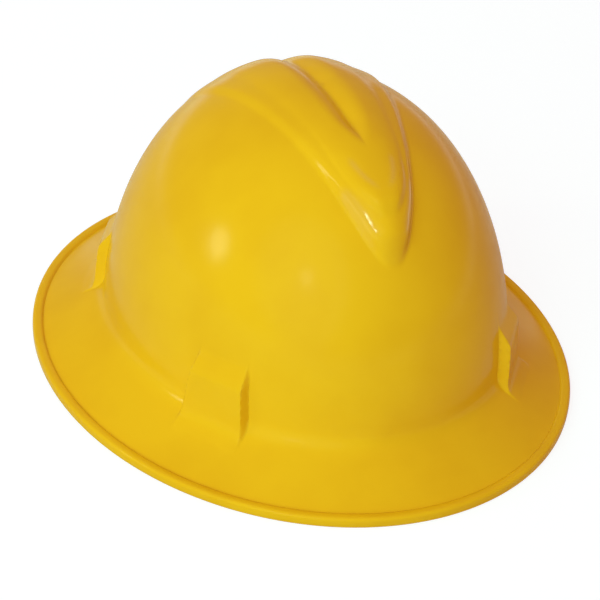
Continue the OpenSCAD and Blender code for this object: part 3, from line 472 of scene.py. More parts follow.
fillet = bent_line((-0.1, CROWN_FOOT + FILLET_UP), (0, CROWN_FOOT - 0.3),
                   (FILLET_OUT, float(brim_top(FILLET_OUT))), count=10)
top_w = np.linspace(FILLET_OUT + 1, BRIM_FLAT, BRIM_RINGS)
brim_line = np.stack([top_w, brim_top(top_w)], axis=-1)
rim_line = round_corners(np.array([
    (BRIM_FLAT, BRIM_EDGE), (BRIM_FLAT + 0.8, BRIM_EDGE + 0.9), (BRIM_FLAT + 1.8, RIM_TOP),
    (BRIM_REACH - 1.4, RIM_TOP), (BRIM_REACH - 0.4, RIM_TOP - 0.6), (BRIM_REACH, RIM_TOP - 1.6),
    (BRIM_REACH, 0.7), (BRIM_REACH - 0.5, 0), (BRIM_REACH - 3.4, 0), (BRIM_REACH - 4, BRIM_EDGE - WALL),
]), times=2)
under_w = np.linspace(BRIM_FLAT, FILLET_OUT, UNDER_RINGS)
under_line = np.stack([under_w, brim_top(under_w) - BRIM_WALL], axis=-1)
inner_fillet = bent_line((FILLET_OUT - 1, float(brim_top(FILLET_OUT)) - FILLET_WALL),
                         (-WALL, CROWN_FOOT - WALL - 0.4),
                         (-WALL - 0.1, CROWN_FOOT + FILLET_UP - 1), count=7)
profile = np.concatenate([fillet, brim_line, rim_line[1:], under_line, inner_fillet])
print("points in the profile:", len(profile))

# %% All the shell's rings
SHOULDER_ANGLE = 30
OUTSIDE_TOP_ANGLE = 89.2
INSIDE_TOP_ANGLE = 89.0
CROWN_RINGS = 74
SHOULDER_RINGS = 52
INSIDE_RINGS = 70

outside_angles = np.concatenate([
    np.linspace(OUTSIDE_TOP_ANGLE, SHOULDER_ANGLE, CROWN_RINGS),
    np.linspace(SHOULDER_ANGLE, dome_angle(FILLET_UP, 0), SHOULDER_RINGS)[1:-1],
])
inside_angles = np.linspace(dome_angle(FILLET_UP, WALL), INSIDE_TOP_ANGLE, INSIDE_RINGS)
rings = np.concatenate([dome_ring(outside_angles, 0), outer_ring(profile[:, 0], profile[:, 1]),
                        dome_ring(inside_angles, WALL)])
outside_count = len(outside_angles)
inside_count = len(inside_angles)
print("rings:", len(rings), "of which on the dome's outside:", outside_count)

# %% [markdown]
# Columns
#
# The pads over the suspension pockets have steep sides only a millimetre wide, so the mesh needs
# narrow columns there and wide ones elsewhere. The columns' angles come from stepping round the
# crown with a step that shrinks near the pads' sides.

# %% Columns round the crown
FRONT_POCKET_TURN = 48.5
REAR_POCKET_TURN = 59.2
WIDE_STEP = 0.7
NARROW_STEP = 0.2
PAD_SIDE_FROM = 6.0
PAD_SIDE_TO = 9.6


def column_angles():
    """Angles of the columns in degrees off the front, the same on both sides."""
    pads = [FRONT_POCKET_TURN, 180 - REAR_POCKET_TURN]
    angles = [0.0]
    while angles[-1] < 180:
        near = [abs(abs(angles[-1] - pad) - (PAD_SIDE_FROM + PAD_SIDE_TO) / 2) for pad in pads]
        steep = min(near) < (PAD_SIDE_TO - PAD_SIDE_FROM) / 2
        angles.append(angles[-1] + (NARROW_STEP if steep else WIDE_STEP))
    half = np.array(angles) * 180 / angles[-1]
    return np.concatenate([half[:-1], 360 - half[:0:-1]])


turns = np.radians(column_angles())
shell_points = np.stack([
    rings[:, 0, None] * np.sin(turns),
    rings[:, 2, None] - rings[:, 1, None] * np.cos(turns),
    np.repeat(rings[:, 3, None], len(turns), axis=1),
], axis=-1)
print("columns:", len(turns))

# %% [markdown]
# Crown ribs
#
# The crown is stiffened by one broad raised form with a rounded point at the front. An outer step
# spreads from the point to the back, with a low lip at its outline and a curved flank that climbs to
# the arches and becomes a ledge towards the back. On the step stand two arched halves, which meet in a
# valley along the middle. Each form is a height over the plain dome, and the vertices move out along
# the dome's own normal. The inside follows nearly the same heights, because a moulded wall is about
# as thick everywhere, but it stays plain where the ribs fade out. A pair of numbers below holds a
# form's value at the nose and at the back.

# %% Rib dimensions
STEP_TIP = -101.0
NOSE_RUN = 12.0
STEP_SPREAD = 3.05
STEP_POWER = 0.55
NARROWEST = 0.5
LIP_RISE = (2.6, 0.8)
LIP_WIDTH = (3.2, 5.0)
FLANK_RISE = (5.0, 2.0)
FLANK_FROM = -85.0
FLANK_RUN = 25.0
FLANK_BEND = (1.9, 1.3)
BEND_FROM = -92.0
BEND_RUN = 32.0
ARCH_TIP = -86.0
ARCH_BLUNT = 14.0
ARCH_LENGTH = 11.0
ARCH_SPREAD = 0.1
ARCH_RISE = (3.0, 2.0)
ARCH_LIP = 1.5
ARCH_BEND = (4.0, 2.0)
ARCH_START = 6.0
BACK_RUN = 60.0
LEDGE_FROM = -55.0
LEDGE_RUN = 45.0
LEDGE_SHARE = 0.7
LEDGE_PLACE = 0.35
VALLEY_TIP = -57.0
VALLEY_RUN = 22.0
VALLEY_HALF = 13.0
VALLEY_LENGTH = 16.0
VALLEY_DEPTH = 4.9
VALLEY_ROUND = 0.12
RIB_FADE_FROM = 32.0
RIB_END = 92.0
SPREAD_UNTIL = 52.0
HOLLOW_SINK = 1.2
print("ribs run from y", STEP_TIP, "to", RIB_END)


# %% Rib heights
def step_half(y):
    """Half width of the outer step at y."""
    return STEP_SPREAD * np.clip(y - STEP_TIP, 0, None) ** STEP_POWER


def blunt_half(widest, length, past):
    """Half width of a form with a blunt nose, past mm behind its tip."""
    return widest * (1 - np.exp(-past / length))


def rib_height(x, y):
    """Height of the ribs over the dome at a plan place from the crown's middle, y to the back."""
    side = np.abs(x)
    run = np.minimum(y, SPREAD_UNTIL)
    step_edge = np.clip(step_half(run), NARROWEST, None)
    past = np.clip(run - ARCH_TIP, 0, None)
    arch_edge = blunt_half(ARCH_BLUNT, ARCH_LENGTH, past) + ARCH_SPREAD * past
    back_share = smooth((y - ARCH_TIP) / BACK_RUN)
    lip_width = between(*LIP_WIDTH, back_share)
    lip = between(*LIP_RISE, back_share) * smooth((step_edge - side) / lip_width)
    t = np.clip((side - arch_edge) / (step_edge - arch_edge), 0, 1)
    bulge = 1 - t ** between(*FLANK_BEND, smooth((y - BEND_FROM) / BEND_RUN))
    ledge = (smooth((1 - t) / LEDGE_PLACE) + smooth((LEDGE_PLACE - t) / LEDGE_PLACE)) / 2
    ledge_share = LEDGE_SHARE * smooth((y - LEDGE_FROM) / LEDGE_RUN)
    flank = (between(*FLANK_RISE, smooth((y - FLANK_FROM) / FLANK_RUN))
             * between(bulge, ledge, ledge_share))
    across = np.clip(side / np.clip(arch_edge + ARCH_LIP, NARROWEST, None), 0, 1)
    arch = (between(*ARCH_RISE, back_share) * (1 - across ** between(*ARCH_BEND, back_share))
            * smooth(past / ARCH_START))
    valley_run = np.clip(run - VALLEY_TIP, 0, None)
    valley_half = np.clip(blunt_half(VALLEY_HALF, VALLEY_LENGTH, valley_run), NARROWEST, None)
    from_bottom = np.hypot(side / valley_half, VALLEY_ROUND)
    valley = (-VALLEY_DEPTH * (1 - np.clip(from_bottom, 0, 1)) ** 2
              * smooth(valley_run / VALLEY_RUN))
    fade = (smooth((y - STEP_TIP) / NOSE_RUN)
            * (1 - smooth((y - RIB_FADE_FROM) / (RIB_END - RIB_FADE_FROM))))
    return fade * (lip + flank + arch + valley)


# %% Raise the ribs
NORMAL_REACH = (1e-4, 0.995)


def dome_normal(points):
    """The dome's outward normal over the plan place of each point."""
    x = points[..., 0]
    y = points[..., 1] + CROWN_FORWARD
    reach = np.clip(np.hypot(x / CROWN_HALF_WIDTH, y / CROWN_HALF_LENGTH), *NORMAL_REACH)
    rise = (1 - reach ** SIDE_POWER) ** (1 / TOP_POWER)
    lean = SIDE_POWER * reach ** (SIDE_POWER - 2)
    way = np.stack([lean * x / CROWN_HALF_WIDTH ** 2, lean * y / CROWN_HALF_LENGTH ** 2,
                    TOP_POWER * rise ** (TOP_POWER - 1) / (CROWN_TOP - CROWN_FOOT)], axis=-1)
    return way / np.linalg.norm(way, axis=-1, keepdims=True)


def raise_ribs(points, heights):
    """Moves each point out along the dome's normal by its own height."""
    points += dome_normal(points) * heights[..., None]


outside = shell_points[:outside_count]
raise_ribs(outside, rib_height(outside[..., 0], outside[..., 1] + CROWN_FORWARD))
inside = shell_points[-inside_count:]
inside_rib = rib_height(inside[..., 0], inside[..., 1] + CROWN_FORWARD)
raise_ribs(inside, np.clip(inside_rib - HOLLOW_SINK * (1 - np.clip(inside_rib, 0, 1)), 0, None))
print("most that the inside rises in mm:", round(float(inside_rib.max()), 1))

# %% [markdown]
# Pads over the pockets
#
# Each suspension key slides up into a pocket in the wall, and the wall bulges out over it as a flat
# pad with a sloping roof. In the pad's own frame, x runs across it and y out of the shell. A vertex
# inside the pad's outline moves out to the pad's face, and a soft maximum leaves the small radius
# that a mould has where the pad meets the dome and the brim.

# %% Pad dimensions
LEFT, RIGHT = 1, -1
PAD_FOOT = 15.5
PAD_TOP = 42.0
PAD_ROOF = PAD_TOP + 8.5
PAD_OUT = [4.9, 3.2, -4.4]
PAD_HALF = [18.0, 15.0, 13.5]
PAD_HEIGHTS = [PAD_FOOT, PAD_TOP, PAD_ROOF]
PAD_SIDE = 1.1
PAD_CORNER = 1.3
PAD_FILLET = 0.9
PAD_FOOT_FILLET = 3.0
FOOT_FILLET_UP = 1
FOOT_FILLET_RUN = 8
PAD_REACH_IN = -30
PAD_REACH_OUT = -6


# %% The keys' places
def key_place(side, end):
    """Plan place of a key on the crown's foot, and the way out of the shell there."""
    turn = math.radians(FRONT_POCKET_TURN if end < 0 else REAR_POCKET_TURN)
    place = np.array([side * CROWN_HALF_WIDTH * math.sin(turn),
                      -CROWN_FORWARD + end * CROWN_HALF_LENGTH * math.cos(turn)])
    way = np.array([side * math.sin(turn) / CROWN_HALF_WIDTH, end * math.cos(turn) / CROWN_HALF_LENGTH])
    return place, way / np.linalg.norm(way)


KEYS = {f"key_{end_name}_{side_name}": key_place(side, end)
        for side_name, side in (("left", LEFT), ("right", RIGHT))
        for end_name, end in (("front", -1), ("rear", 1))}
for name, (place, way) in KEYS.items():
    print(name, "at", np.round(place, 1))


# %% Raise the pads
def pad_face(z):
    """How far out the pad's face stands at a height: its flat front, cut by its roof."""
    front = PAD_OUT[0] + (PAD_OUT[1] - PAD_OUT[0]) * (z - PAD_FOOT) / (PAD_TOP - PAD_FOOT)
    roof = PAD_OUT[1] + (PAD_OUT[2] - PAD_OUT[1]) * (z - PAD_TOP) / (PAD_ROOF - PAD_TOP)
    return (front + roof - np.sqrt((front - roof) ** 2 + PAD_CORNER ** 2)) / 2


def raise_pad(points, place, way):
    """Pushes the points within a pad's outline out to its face."""
    across = np.array([-way[1], way[0]])
    offset = points[..., :2] - place
    x = offset @ across
    y = offset @ way
    z = points[..., 2]
    half = np.interp(z, PAD_HEIGHTS, PAD_HALF)
    inside_sides = smooth((half - np.abs(x)) / PAD_SIDE + 0.5)
    stand = pad_face(z) - y
    above_foot = smooth((z - PAD_FOOT - FOOT_FILLET_UP) / FOOT_FILLET_RUN)
    fillet_here = between(PAD_FOOT_FILLET, PAD_FILLET, above_foot)
    push = (stand + np.sqrt(stand ** 2 + fillet_here ** 2)) / 2 * inside_sides
    near = (np.abs(x) < PAD_HALF[0] + PAD_SIDE) & (y > PAD_REACH_IN) & (stand > PAD_REACH_OUT)
    points[..., :2] += np.where(near, push, 0)[..., None] * way


top_count = outside_count + len(fillet) + len(brim_line)
for place, way in KEYS.values():
    raise_pad(shell_points[:top_count], place, way)
print("pads raised:", len(KEYS))

# %% [markdown]
# Joining the shell and cutting its pockets
#
# The skin is closed over the poles of the dome, inside and out. Under the brim each pad has a short
# block, and the pocket is a slot through it into the wall. Both are boxes, joined and cut with
# Boolean modifiers, whose manifold solver is made for large closed meshes like this one.

# %% Close the skin
apex = rib_height(np.array(0.0), np.array(0.0))
shell_top = [0, -CROWN_FORWARD, CROWN_TOP + float(apex)]
hollow_top = [0, -CROWN_FORWARD, CROWN_TOP - WALL + float(apex)]
shell_skin = skin_rings("shell_skin", shell_points, shell_top, hollow_top, polyethylene)

# %% Pocket blocks and slots
BLOCK_HALF = PAD_HALF[0] - 0.5
BLOCK_BACK = -2.3
BLOCK_FRONT = 4.2
BLOCK_TOP = 19.0
SLOT_HALF = 13.4
SLOT_BACK = -0.6
SLOT_FRONT = 2.4
SLOT_TOP = 31.0
SLOT_LOW = 4.0
SHARP_EDGE = math.radians(50)


def boxes_at_keys(name, half, back_y, front_y, low, high):
    """One object with a box at each key, in the keys' own frames."""
    points = []
    faces = []
    for place, way in KEYS.values():
        across = np.array([-way[1], way[0]])
        start = len(points)
        for z in (low, high):
            for x, y in ((-half, back_y), (half, back_y), (half, front_y), (-half, front_y)):
                points.append([*(place + across * x + way * y), z])
        for face in ((0, 1, 2, 3), (7, 6, 5, 4), (0, 4, 5, 1), (1, 5, 6, 2), (2, 6, 7, 3), (3, 7, 4, 0)):
            faces.append([start + i for i in face])
    piece = make_object(name, points, faces, polyethylene)
    face_outwards(piece)
    return piece


def apply_modifiers(piece):
    """Makes what the modifiers show into the piece's own mesh."""
    evaluated = piece.evaluated_get(bpy.context.evaluated_depsgraph_get())
    mesh = bpy.data.meshes.new_from_object(evaluated)
    piece.modifiers.clear()
    piece.data = mesh


def combine(piece, other, operation):
    """Joins the other piece to this one, or cuts it out, and removes it."""
    boolean = piece.modifiers.new(operation.lower(), "BOOLEAN")
    boolean.operation = operation
    boolean.object = other
    boolean.solver = "MANIFOLD"
    apply_modifiers(piece)
    bpy.data.objects.remove(other)


blocks = boxes_at_keys("pocket_blocks", BLOCK_HALF, BLOCK_BACK, BLOCK_FRONT, PAD_FOOT, BLOCK_TOP)
combine(shell_skin, blocks, "UNION")
slots = boxes_at_keys("pocket_slots", SLOT_HALF, SLOT_BACK, SLOT_FRONT, SLOT_LOW, SLOT_TOP)
combine(shell_skin, slots, "DIFFERENCE")
shell_skin.data.set_sharp_from_angle(angle=SHARP_EDGE)
print("shell with pockets, vertices:", len(shell_skin.data.vertices))

# %% [markdown]
# Painted highlights on the nose
#
# A thin glassy coat is laid along the outlines of the step and the arches at the nose. It is a
# painted highlight: the streak there is the small lamps' own reflection, but the coat that makes it
# shine only there is placed, not worn in. A number at each vertex carries the coat's weight to the
# material.

# %% Lay the painted highlight coat on the nose
# Where along y and how far inside each outline the painted highlight coat lies
STEP_HIGHLIGHT = (-96.0, -72.0)
ARCH_HIGHLIGHT = (ARCH_TIP + 3, -62.0)
HIGHLIGHT_FADE = 5.0
HIGHLIGHT_INSIDE = 1.7
HIGHLIGHT_WIDTH = 1.3


def highlight_coat_of(points):
    """The painted highlight coat's weight: 1 along the outlines of the step and the arches at the nose, 0
    elsewhere.
    """
    side, y, z = np.abs(points[:, 0]), points[:, 1] + CROWN_FORWARD, points[:, 2]
    past = np.clip(y - ARCH_TIP, 0, None)
    outlines = [(step_half(y), *STEP_HIGHLIGHT),
                (blunt_half(ARCH_BLUNT, ARCH_LENGTH, past), *ARCH_HIGHLIGHT)]
    highlight_mask = [np.exp(-((side - edge + HIGHLIGHT_INSIDE) / HIGHLIGHT_WIDTH) ** 2)
              * smooth((y - first) / HIGHLIGHT_FADE) * smooth((last - y) / HIGHLIGHT_FADE)
              for edge, first, last in outlines]
    return np.maximum(*highlight_mask) * (z > CROWN_FOOT + PAD_TOP)


# Each vertex's weight of the painted highlight coat, kept on the mesh for the material
highlight_coat = highlight_coat_of(np.array([v.co for v in shell_skin.data.vertices]) / MM)
highlight_mask = shell_skin.data.attributes.new("highlight_coat", "FLOAT", "POINT")
highlight_mask.data.foreach_set("value", highlight_coat.astype(np.float32))
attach(shell_skin, "shell_unit")
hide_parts("shell")
print("shell skin faces:", len(shell_skin.data.polygons), "burnished vertices:",
      int((highlight_coat > 0.5).sum()))

# %% [markdown]
# Crown straps
#
# Two webbing straps cross over the head. Each goes round the bar of a key and is sewn back on itself.
# Webbing is flat and stiff along its width, so a cloth simulation would add nothing: a thin rounded
# section swept along the strap's own line gives it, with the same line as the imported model.

# %% Suspension dimensions
PLATE_OUT = -8.1
PLATE_IN = -10.6
BAR_OUT = (PLATE_OUT + PLATE_IN) / 2
BAR_UP = 45.5
STRAP_WIDTH = 19.0
STRAP_THICK = 1.3
BAR_RADIUS = 1.5
STRAP_AIR = 0.2
LOOP_RADIUS = BAR_RADIUS + STRAP_AIR + STRAP_THICK / 2
SEWN_LENGTH = 20.0
SEWN_MIDDLE = 9.0
STRAP_LEAN = 0.27
STRAP_PULL = 62.0
STRAP_TOP = 112.0
STRAP_SIDE_POWER = 2.1
STRAP_TOP_POWER = 1.25
STRAP_POINTS = 121
CROSSING_GAP = 0.85
WRAP_START = 34
WRAP_END = -180
WRAP_POINTS = 22


# %% A strap's line
def bezier(a, b, c, d, u):
    """Points on the curve from a to d that is pulled towards b and c."""
    return a * (1 - u) ** 3 + b * 3 * u * (1 - u) ** 2 + c * 3 * u * u * (1 - u) + d * u ** 3


def unit(v):
    """The vectors at length one."""
    return v / np.linalg.norm(v, axis=-1, keepdims=True)


def strap_end_line():
    """The strap's line near a key, as out and up, from its sewn end round the bar and up again."""
    layer = STRAP_THICK + STRAP_AIR
    inner = BAR_OUT - LOOP_RADIUS
    down = [(inner - STRAP_LEAN * rise + layer, BAR_UP + rise) for rise in (SEWN_LENGTH, SEWN_MIDDLE)]
    turn = np.radians(np.linspace(WRAP_START, WRAP_END, WRAP_POINTS))
    wrap = np.stack([BAR_OUT + LOOP_RADIUS * np.cos(turn), BAR_UP + LOOP_RADIUS * np.sin(turn)], axis=-1)
    up_again = [(inner - STRAP_LEAN * rise, BAR_UP + rise) for rise in (SEWN_MIDDLE, SEWN_LENGTH)]
    return np.concatenate([down, wrap, up_again])


def strap_line(side, lift):
    """Middle line and way across of the strap from one front key to the rear key opposite."""
    near_place, near_way = key_place(side, -1)
    far_place, far_way = key_place(-side, 1)
    ends = strap_end_line()
    near_across = np.array([-near_way[1], near_way[0], 0])
    far_across = np.array([far_way[1], -far_way[0], 0])
    near = [[*(near_place + near_way * out), z] for out, z in ends]
    far = [[*(far_place + far_way * out), z] for out, z in ends[::-1]]
    a = near_place + near_way * ends[-1, 0]
    b = far_place + far_way * ends[-1, 0]
    u = np.linspace(0, 1, STRAP_POINTS)[1:-1, None]
    plan = bezier(a, a - near_way * STRAP_PULL, b - far_way * STRAP_PULL, b, u)
    arch = (1 - np.abs(2 * u - 1) ** STRAP_SIDE_POWER) ** (1 / STRAP_TOP_POWER)
    over = np.concatenate([plan, between(ends[-1, 1], STRAP_TOP + lift, arch)], axis=-1)
    way = unit(np.gradient(plan, axis=0))
    over_across = np.stack([way[:, 1], -way[:, 0], 0 * way[:, 0]], axis=-1)
    line = np.concatenate([near, over, far])
    across = np.concatenate([np.tile(near_across, (len(near), 1)), over_across,
                             np.tile(far_across, (len(far), 1))])
    return line, across


# %% A strap's section and its sweep
SELVEDGE_ROUND = 0.35
SELVEDGE_WIDTH = 1.1
SELVEDGE_SHARE = 0.85


def webbing_section():
    """Offsets across and through the strap, round its section, with full rounded selvedges."""
    half = STRAP_WIDTH / 2
    x = np.array([-half, -half + SELVEDGE_ROUND, -half + SELVEDGE_WIDTH, -6, -3, 0, 3, 6,
                  half - SELVEDGE_WIDTH, half - SELVEDGE_ROUND, half])
    z = STRAP_THICK / 2 * np.array([0, SELVEDGE_SHARE, 1, 1, 1, 1, 1, 1, 1, SELVEDGE_SHARE, 0])
    return np.concatenate([np.stack([x, z], axis=-1), np.stack([x[-2:0:-1], -z[-2:0:-1]], axis=-1)])


def sweep(line, across, section):
    """Rings of a section carried along a line; the section's first number goes across."""
    along = unit(np.gradient(line, axis=0))
    face = unit(np.cross(along, across))
    return (line[:, None] + across[:, None] * section[None, :, :1]
            + face[:, None] * section[None, :, 1:])


# %% Webbing straps
UPPER_LIFT = STRAP_THICK + CROSSING_GAP


def map_webbing(piece, line, section):
    """Texture coordinates in mm, across the strap and along it; gives back the strap's length."""
    run = np.concatenate([[0], np.cumsum(np.linalg.norm(np.diff(line, axis=0), axis=-1))])
    across = np.tile(section[:, 0], len(line))
    along = np.repeat(run, len(section))
    flat = np.stack([np.append(across, [0, 0]), np.append(along, [0, run[-1]])], axis=-1)
    loops = np.empty(len(piece.data.loops), dtype=int)
    piece.data.loops.foreach_get("vertex_index", loops)
    layer = piece.data.uv_layers.new(name="webbing_mm")
    layer.uv.foreach_set("vector", flat[loops].astype(np.float32).ravel())
    return run[-1]


def webbing_strap(name, node, side, lift):
    """The strap from one front key to the rear key opposite, lift mm higher at the crossing."""
    line, across = strap_line(side, lift)
    section = webbing_section()
    piece = skin_rings(name, sweep(line, across, section), line[0], line[-1], polyester_webbing)
    length = map_webbing(piece, line, section)
    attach(piece, "shell_unit")
    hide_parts(node)
    print(name, "faces:", len(piece.data.polygons), "length in mm:", round(length))


webbing_strap("webbing_strap_lower", "crown_strap_lower", LEFT, 0)
webbing_strap("webbing_strap_upper", "crown_strap_upper", RIGHT, UPPER_LIFT)

# %% [markdown]
# Stitching
#
# The strap's folded ends are held by a sewn box with a cross in it, in thread about half a millimetre
# thick. Each stitch is a small tapered rod that lies on the cloth, and one object holds all the
# stitches of one seam, because thread is made and repainted as one thing.

# %% Stitch helper
STITCH_LENGTH = 2.3
STITCH_GAP = 0.5
THREAD_RADIUS = 0.24
ROD_TIP = 0.35
ROD_SIDES = 6
ROD_FACES = 3 * ROD_SIDES + 2


def stitch_seam(points, faces, start, end, lift_way):
    """Adds a row of stitches from start to end to the lists of points and faces."""
    count = max(1, round(np.linalg.norm(end - start) / (STITCH_LENGTH + STITCH_GAP)))
    along = (end - start) / count
    way = unit(along)
    side = unit(np.cross(way, lift_way))
    lift = np.cross(side, way)
    turn = np.linspace(0, 2 * math.pi, ROD_SIDES, endpoint=False)
    hoop = np.cos(turn)[:, None] * side + np.sin(turn)[:, None] * lift
    inset = STITCH_GAP / 2 / np.linalg.norm(along)
    for k in range(count):
        first = len(points)
        for u, thick, sink in ((inset, ROD_TIP, 1), (0.25, 1, 0), (0.75, 1, 0), (1 - inset, ROD_TIP, 1)):
            middle = start + along * (k + u) - lift * sink * THREAD_RADIUS
            points.extend((middle + hoop * THREAD_RADIUS * thick).tolist())
        for ring in range(3):
            for i in range(ROD_SIDES):
                a = first + ring * ROD_SIDES + i
                b = first + ring * ROD_SIDES + (i + 1) % ROD_SIDES
                faces.append([a, b, b + ROD_SIDES, a + ROD_SIDES])
        faces.append([first + i for i in range(ROD_SIDES)][::-1])
        faces.append([first + 3 * ROD_SIDES + i for i in range(ROD_SIDES)])


def stitched_piece(name, points, faces, body):
    """One object of all the stitches in the lists, which rides on a body."""
    piece = make_object(name, points, faces, sewing_thread)
    face_outwards(piece)
    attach(piece, body)
    print(name, "stitches:", len(faces) // ROD_FACES)


# %% Sewn boxes at the strap ends
BOX_HALF = 6.8
BOX_LOW = SEWN_MIDDLE + 1.0
BOX_HIGH = SEWN_LENGTH - 1.6


def sewn_box(points, faces, place, way, inner, facing):
    """A box and cross of stitches on one side of a sewn end, in the key's own frame."""
    across = np.array([-way[1], way[0], 0])
    outward = np.array([*way, 0])

    def corner(x, rise):
        """The point x mm across the strap and rise mm over the bar."""
        out = inner - STRAP_LEAN * rise
        return np.array([*place, 0]) + outward * out + across * x + np.array([0, 0, BAR_UP + rise])

    low_left, low_right = corner(-BOX_HALF, BOX_LOW), corner(BOX_HALF, BOX_LOW)
    high_left, high_right = corner(-BOX_HALF, BOX_HIGH), corner(BOX_HALF, BOX_HIGH)
    lines = [(low_left, low_right), (low_right, high_right), (high_right, high_left),
             (high_left, low_left), (low_left, high_right), (low_right, high_left)]
    for start, end in lines:
        stitch_seam(points, faces, start, end, outward * facing)


strap_points = []
strap_faces = []
strap_inner = BAR_OUT - LOOP_RADIUS
for place, way in KEYS.values():
    half = STRAP_THICK / 2 / math.cos(math.atan(STRAP_LEAN))
    sewn_box(strap_points, strap_faces, place, way, strap_inner - half, -1)
    sewn_box(strap_points, strap_faces, place, way, strap_inner + STRAP_THICK + STRAP_AIR + half, 1)
stitched_piece("strap_stitching", strap_points, strap_faces, "shell_unit")

# %% [markdown]
# Side straps
#
# From each temple a flexible strap runs back into the ratchet, where a toothed rack carries on from
# it. The strap is built in two parts with the same section, split part way along its length. The mould
# gives it a bead along each edge, which keeps a thin strap from tearing, and the section sweeps that
# bead along.

# %% Headband curve
BAND_HALF_WIDTH = CROWN_HALF_WIDTH - 18.2
BAND_FRONT = CROWN_HALF_LENGTH - 14.3
BAND_REAR = CROWN_HALF_LENGTH - 35
BAND_MIDDLE_Y = 0.8
BAND_THICK = 1.8
BAND_Z = 24.0
TEMPLE_TURN = 96
RACK_RADIUS = BAND_HALF_WIDTH ** 2 / BAND_REAR
RATCHET_Y = BAND_MIDDLE_Y + BAND_REAR - RACK_RADIUS
RACK_JOINT_TURN = 24
LAYER_STEP = 0.9
print("racks' radius in mm:", round(RACK_RADIUS, 1), "ratchet's middle y:", round(RATCHET_Y, 1))


def band_points(side, turn, off):
    """Plan places on the headband's curve, turn degrees from the forehead, off mm outside it."""
    t = np.radians(turn)
    long = np.where(t < math.pi / 2, BAND_FRONT, BAND_REAR)
    out = unit(np.stack([np.sin(t) / BAND_HALF_WIDTH, -np.cos(t) / long], axis=-1))
    x = side * (BAND_HALF_WIDTH * np.sin(t) + out[..., 0] * off)
    return np.stack([x, BAND_MIDDLE_Y - long * np.cos(t) + out[..., 1] * off], axis=-1)


# %% The side straps' section
SIDE_STRAP_HEIGHT = 20
SIDE_STRAP_THICK = BAND_THICK - 0.2
BEAD_WIDTH = 1.8
BEAD_ROUND = 0.25
BEAD_SLOPE = 0.5
EDGE_SHARE = 0.25
WEB_SHARE = 0.62


def beaded_section(height, thick, bead):
    """A strap's section with a raised bead along each edge, as height and thickness offsets."""
    half = height / 2
    z = np.array([-half, -half + BEAD_ROUND, -half + bead, -half + bead + BEAD_SLOPE, 0,
                  half - bead - BEAD_SLOPE, half - bead, half - BEAD_ROUND, half])
    t = thick / 2 * np.array([EDGE_SHARE, 1, 1, WEB_SHARE, WEB_SHARE, WEB_SHARE, 1, 1, EDGE_SHARE])
    return np.concatenate([np.stack([z, t], axis=-1), np.stack([z[::-1], -t[::-1]], axis=-1)])


# %% Side straps
STRAP_BEND_FROM = 12.0
STRAP_BEND_TO = 74.0
STRAP_SPLIT = 50.0
SPLIT_GAP = 0.02
RACK_GAP = 0.35
STRAP_ROWS = 60
LAYER_RUN = 40


def side_strap(side_name, side):
    """The two parts of one strap, from the temple to the ratchet and on to the rack."""
    mouth = math.degrees(math.asin((RACK_RADIUS * math.sin(math.radians(RACK_JOINT_TURN)) + RACK_GAP)
                                   / BAND_HALF_WIDTH))
    turn = np.linspace(TEMPLE_TURN, 180 - mouth, STRAP_ROWS)
    plan = band_points(side, turn, -side * LAYER_STEP * smooth((turn - TEMPLE_TURN) / LAYER_RUN))
    line = np.concatenate([plan, np.full((len(turn), 1), BAND_Z)], axis=-1)
    upright = np.tile([0.0, 0.0, 1.0], (len(line), 1))
    rings_here = sweep(line, upright, beaded_section(SIDE_STRAP_HEIGHT, SIDE_STRAP_THICK, BEAD_WIDTH))
    split = int(np.argmax(line[:, 1] > STRAP_SPLIT))
    split_y = line[split, 1]
    rear_rings = rings_here[split:].copy()
    rear_rings[0] = between(rear_rings[0], rear_rings[1], SPLIT_GAP)
    parts = {"front": (rings_here[:split + 1], "headband_unit", "ratchet_unit", STRAP_BEND_FROM, split_y),
             "rear": (rear_rings, "ratchet_unit", f"rack_{side_name}_unit", split_y, STRAP_BEND_TO)}
    for part, (part_rings, first_body, last_body, bend_from, bend_to) in parts.items():
        piece = skin_rings(f"flexible_strap_{side_name}_{part}", part_rings, part_rings[0].mean(axis=0),
                           part_rings[-1].mean(axis=0), polypropylene)
        piece.data.set_sharp_from_angle(angle=SHARP_EDGE)
        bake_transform(piece)
        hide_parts(f"side_strap_{side_name}")
        print(piece.name, "faces:", len(piece.data.polygons))


side_strap("left", LEFT)
side_strap("right", RIGHT)

# %% [markdown]
# Nape hangers
#
# Each rear key carries a slotted plate with a springy arm that is riveted to the ratchet. The imported
# solid already has that shape, so a copy of its mesh takes small rounded edges.

# %% Nape hangers
ROUNDED_ANGLE = math.radians(35)
ARM_EDGE = 0.25


def round_edges(piece, edge):
    """Rounds the piece's sharp edges by edge mm."""
    bevel = piece.modifiers.new("moulded_edge", "BEVEL")
    bevel.width = edge * MM
    bevel.segments = 2
    bevel.limit_method = "ANGLE"
    bevel.angle_limit = ROUNDED_ANGLE
    bevel.harden_normals = False


def copy_of_node(name, node, edge):
    """A new object with a node's shape and its sharp edges rounded by edge mm."""
    piece = bpy.data.objects.new(name, nodes[node].data.copy())
    scene.collection.objects.link(piece)
    round_edges(piece, edge)
    apply_modifiers(piece)
    return piece


for side_name in ("left", "right"):
    arm = copy_of_node(f"nape_arm_{side_name}", f"nape_hanger_{side_name}", ARM_EDGE)
    arm.data.materials.clear()
    arm.data.materials.append(polypropylene)
    arm.data.set_sharp_from_angle(angle=ROUNDED_ANGLE)
    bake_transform(arm)
    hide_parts(f"nape_hanger_{side_name}")
    print(arm.name, "faces:", len(arm.data.polygons))

# %% [markdown]
# Sweat pads
#
# The brow pad is a long cushion of foam in terry cloth, sewn into nine fields. Its crowned section and
# the dips at its channels are drawn, and they give it nearly all of its shape. A cloth simulation then
# holds the closed cover at its back, its seams and its sewn channels and puts it under pressure, as
# foam does. At this pressure that moves the fields by less than a tenth of a millimetre, well under
# the cap that would keep them in the space that they have.

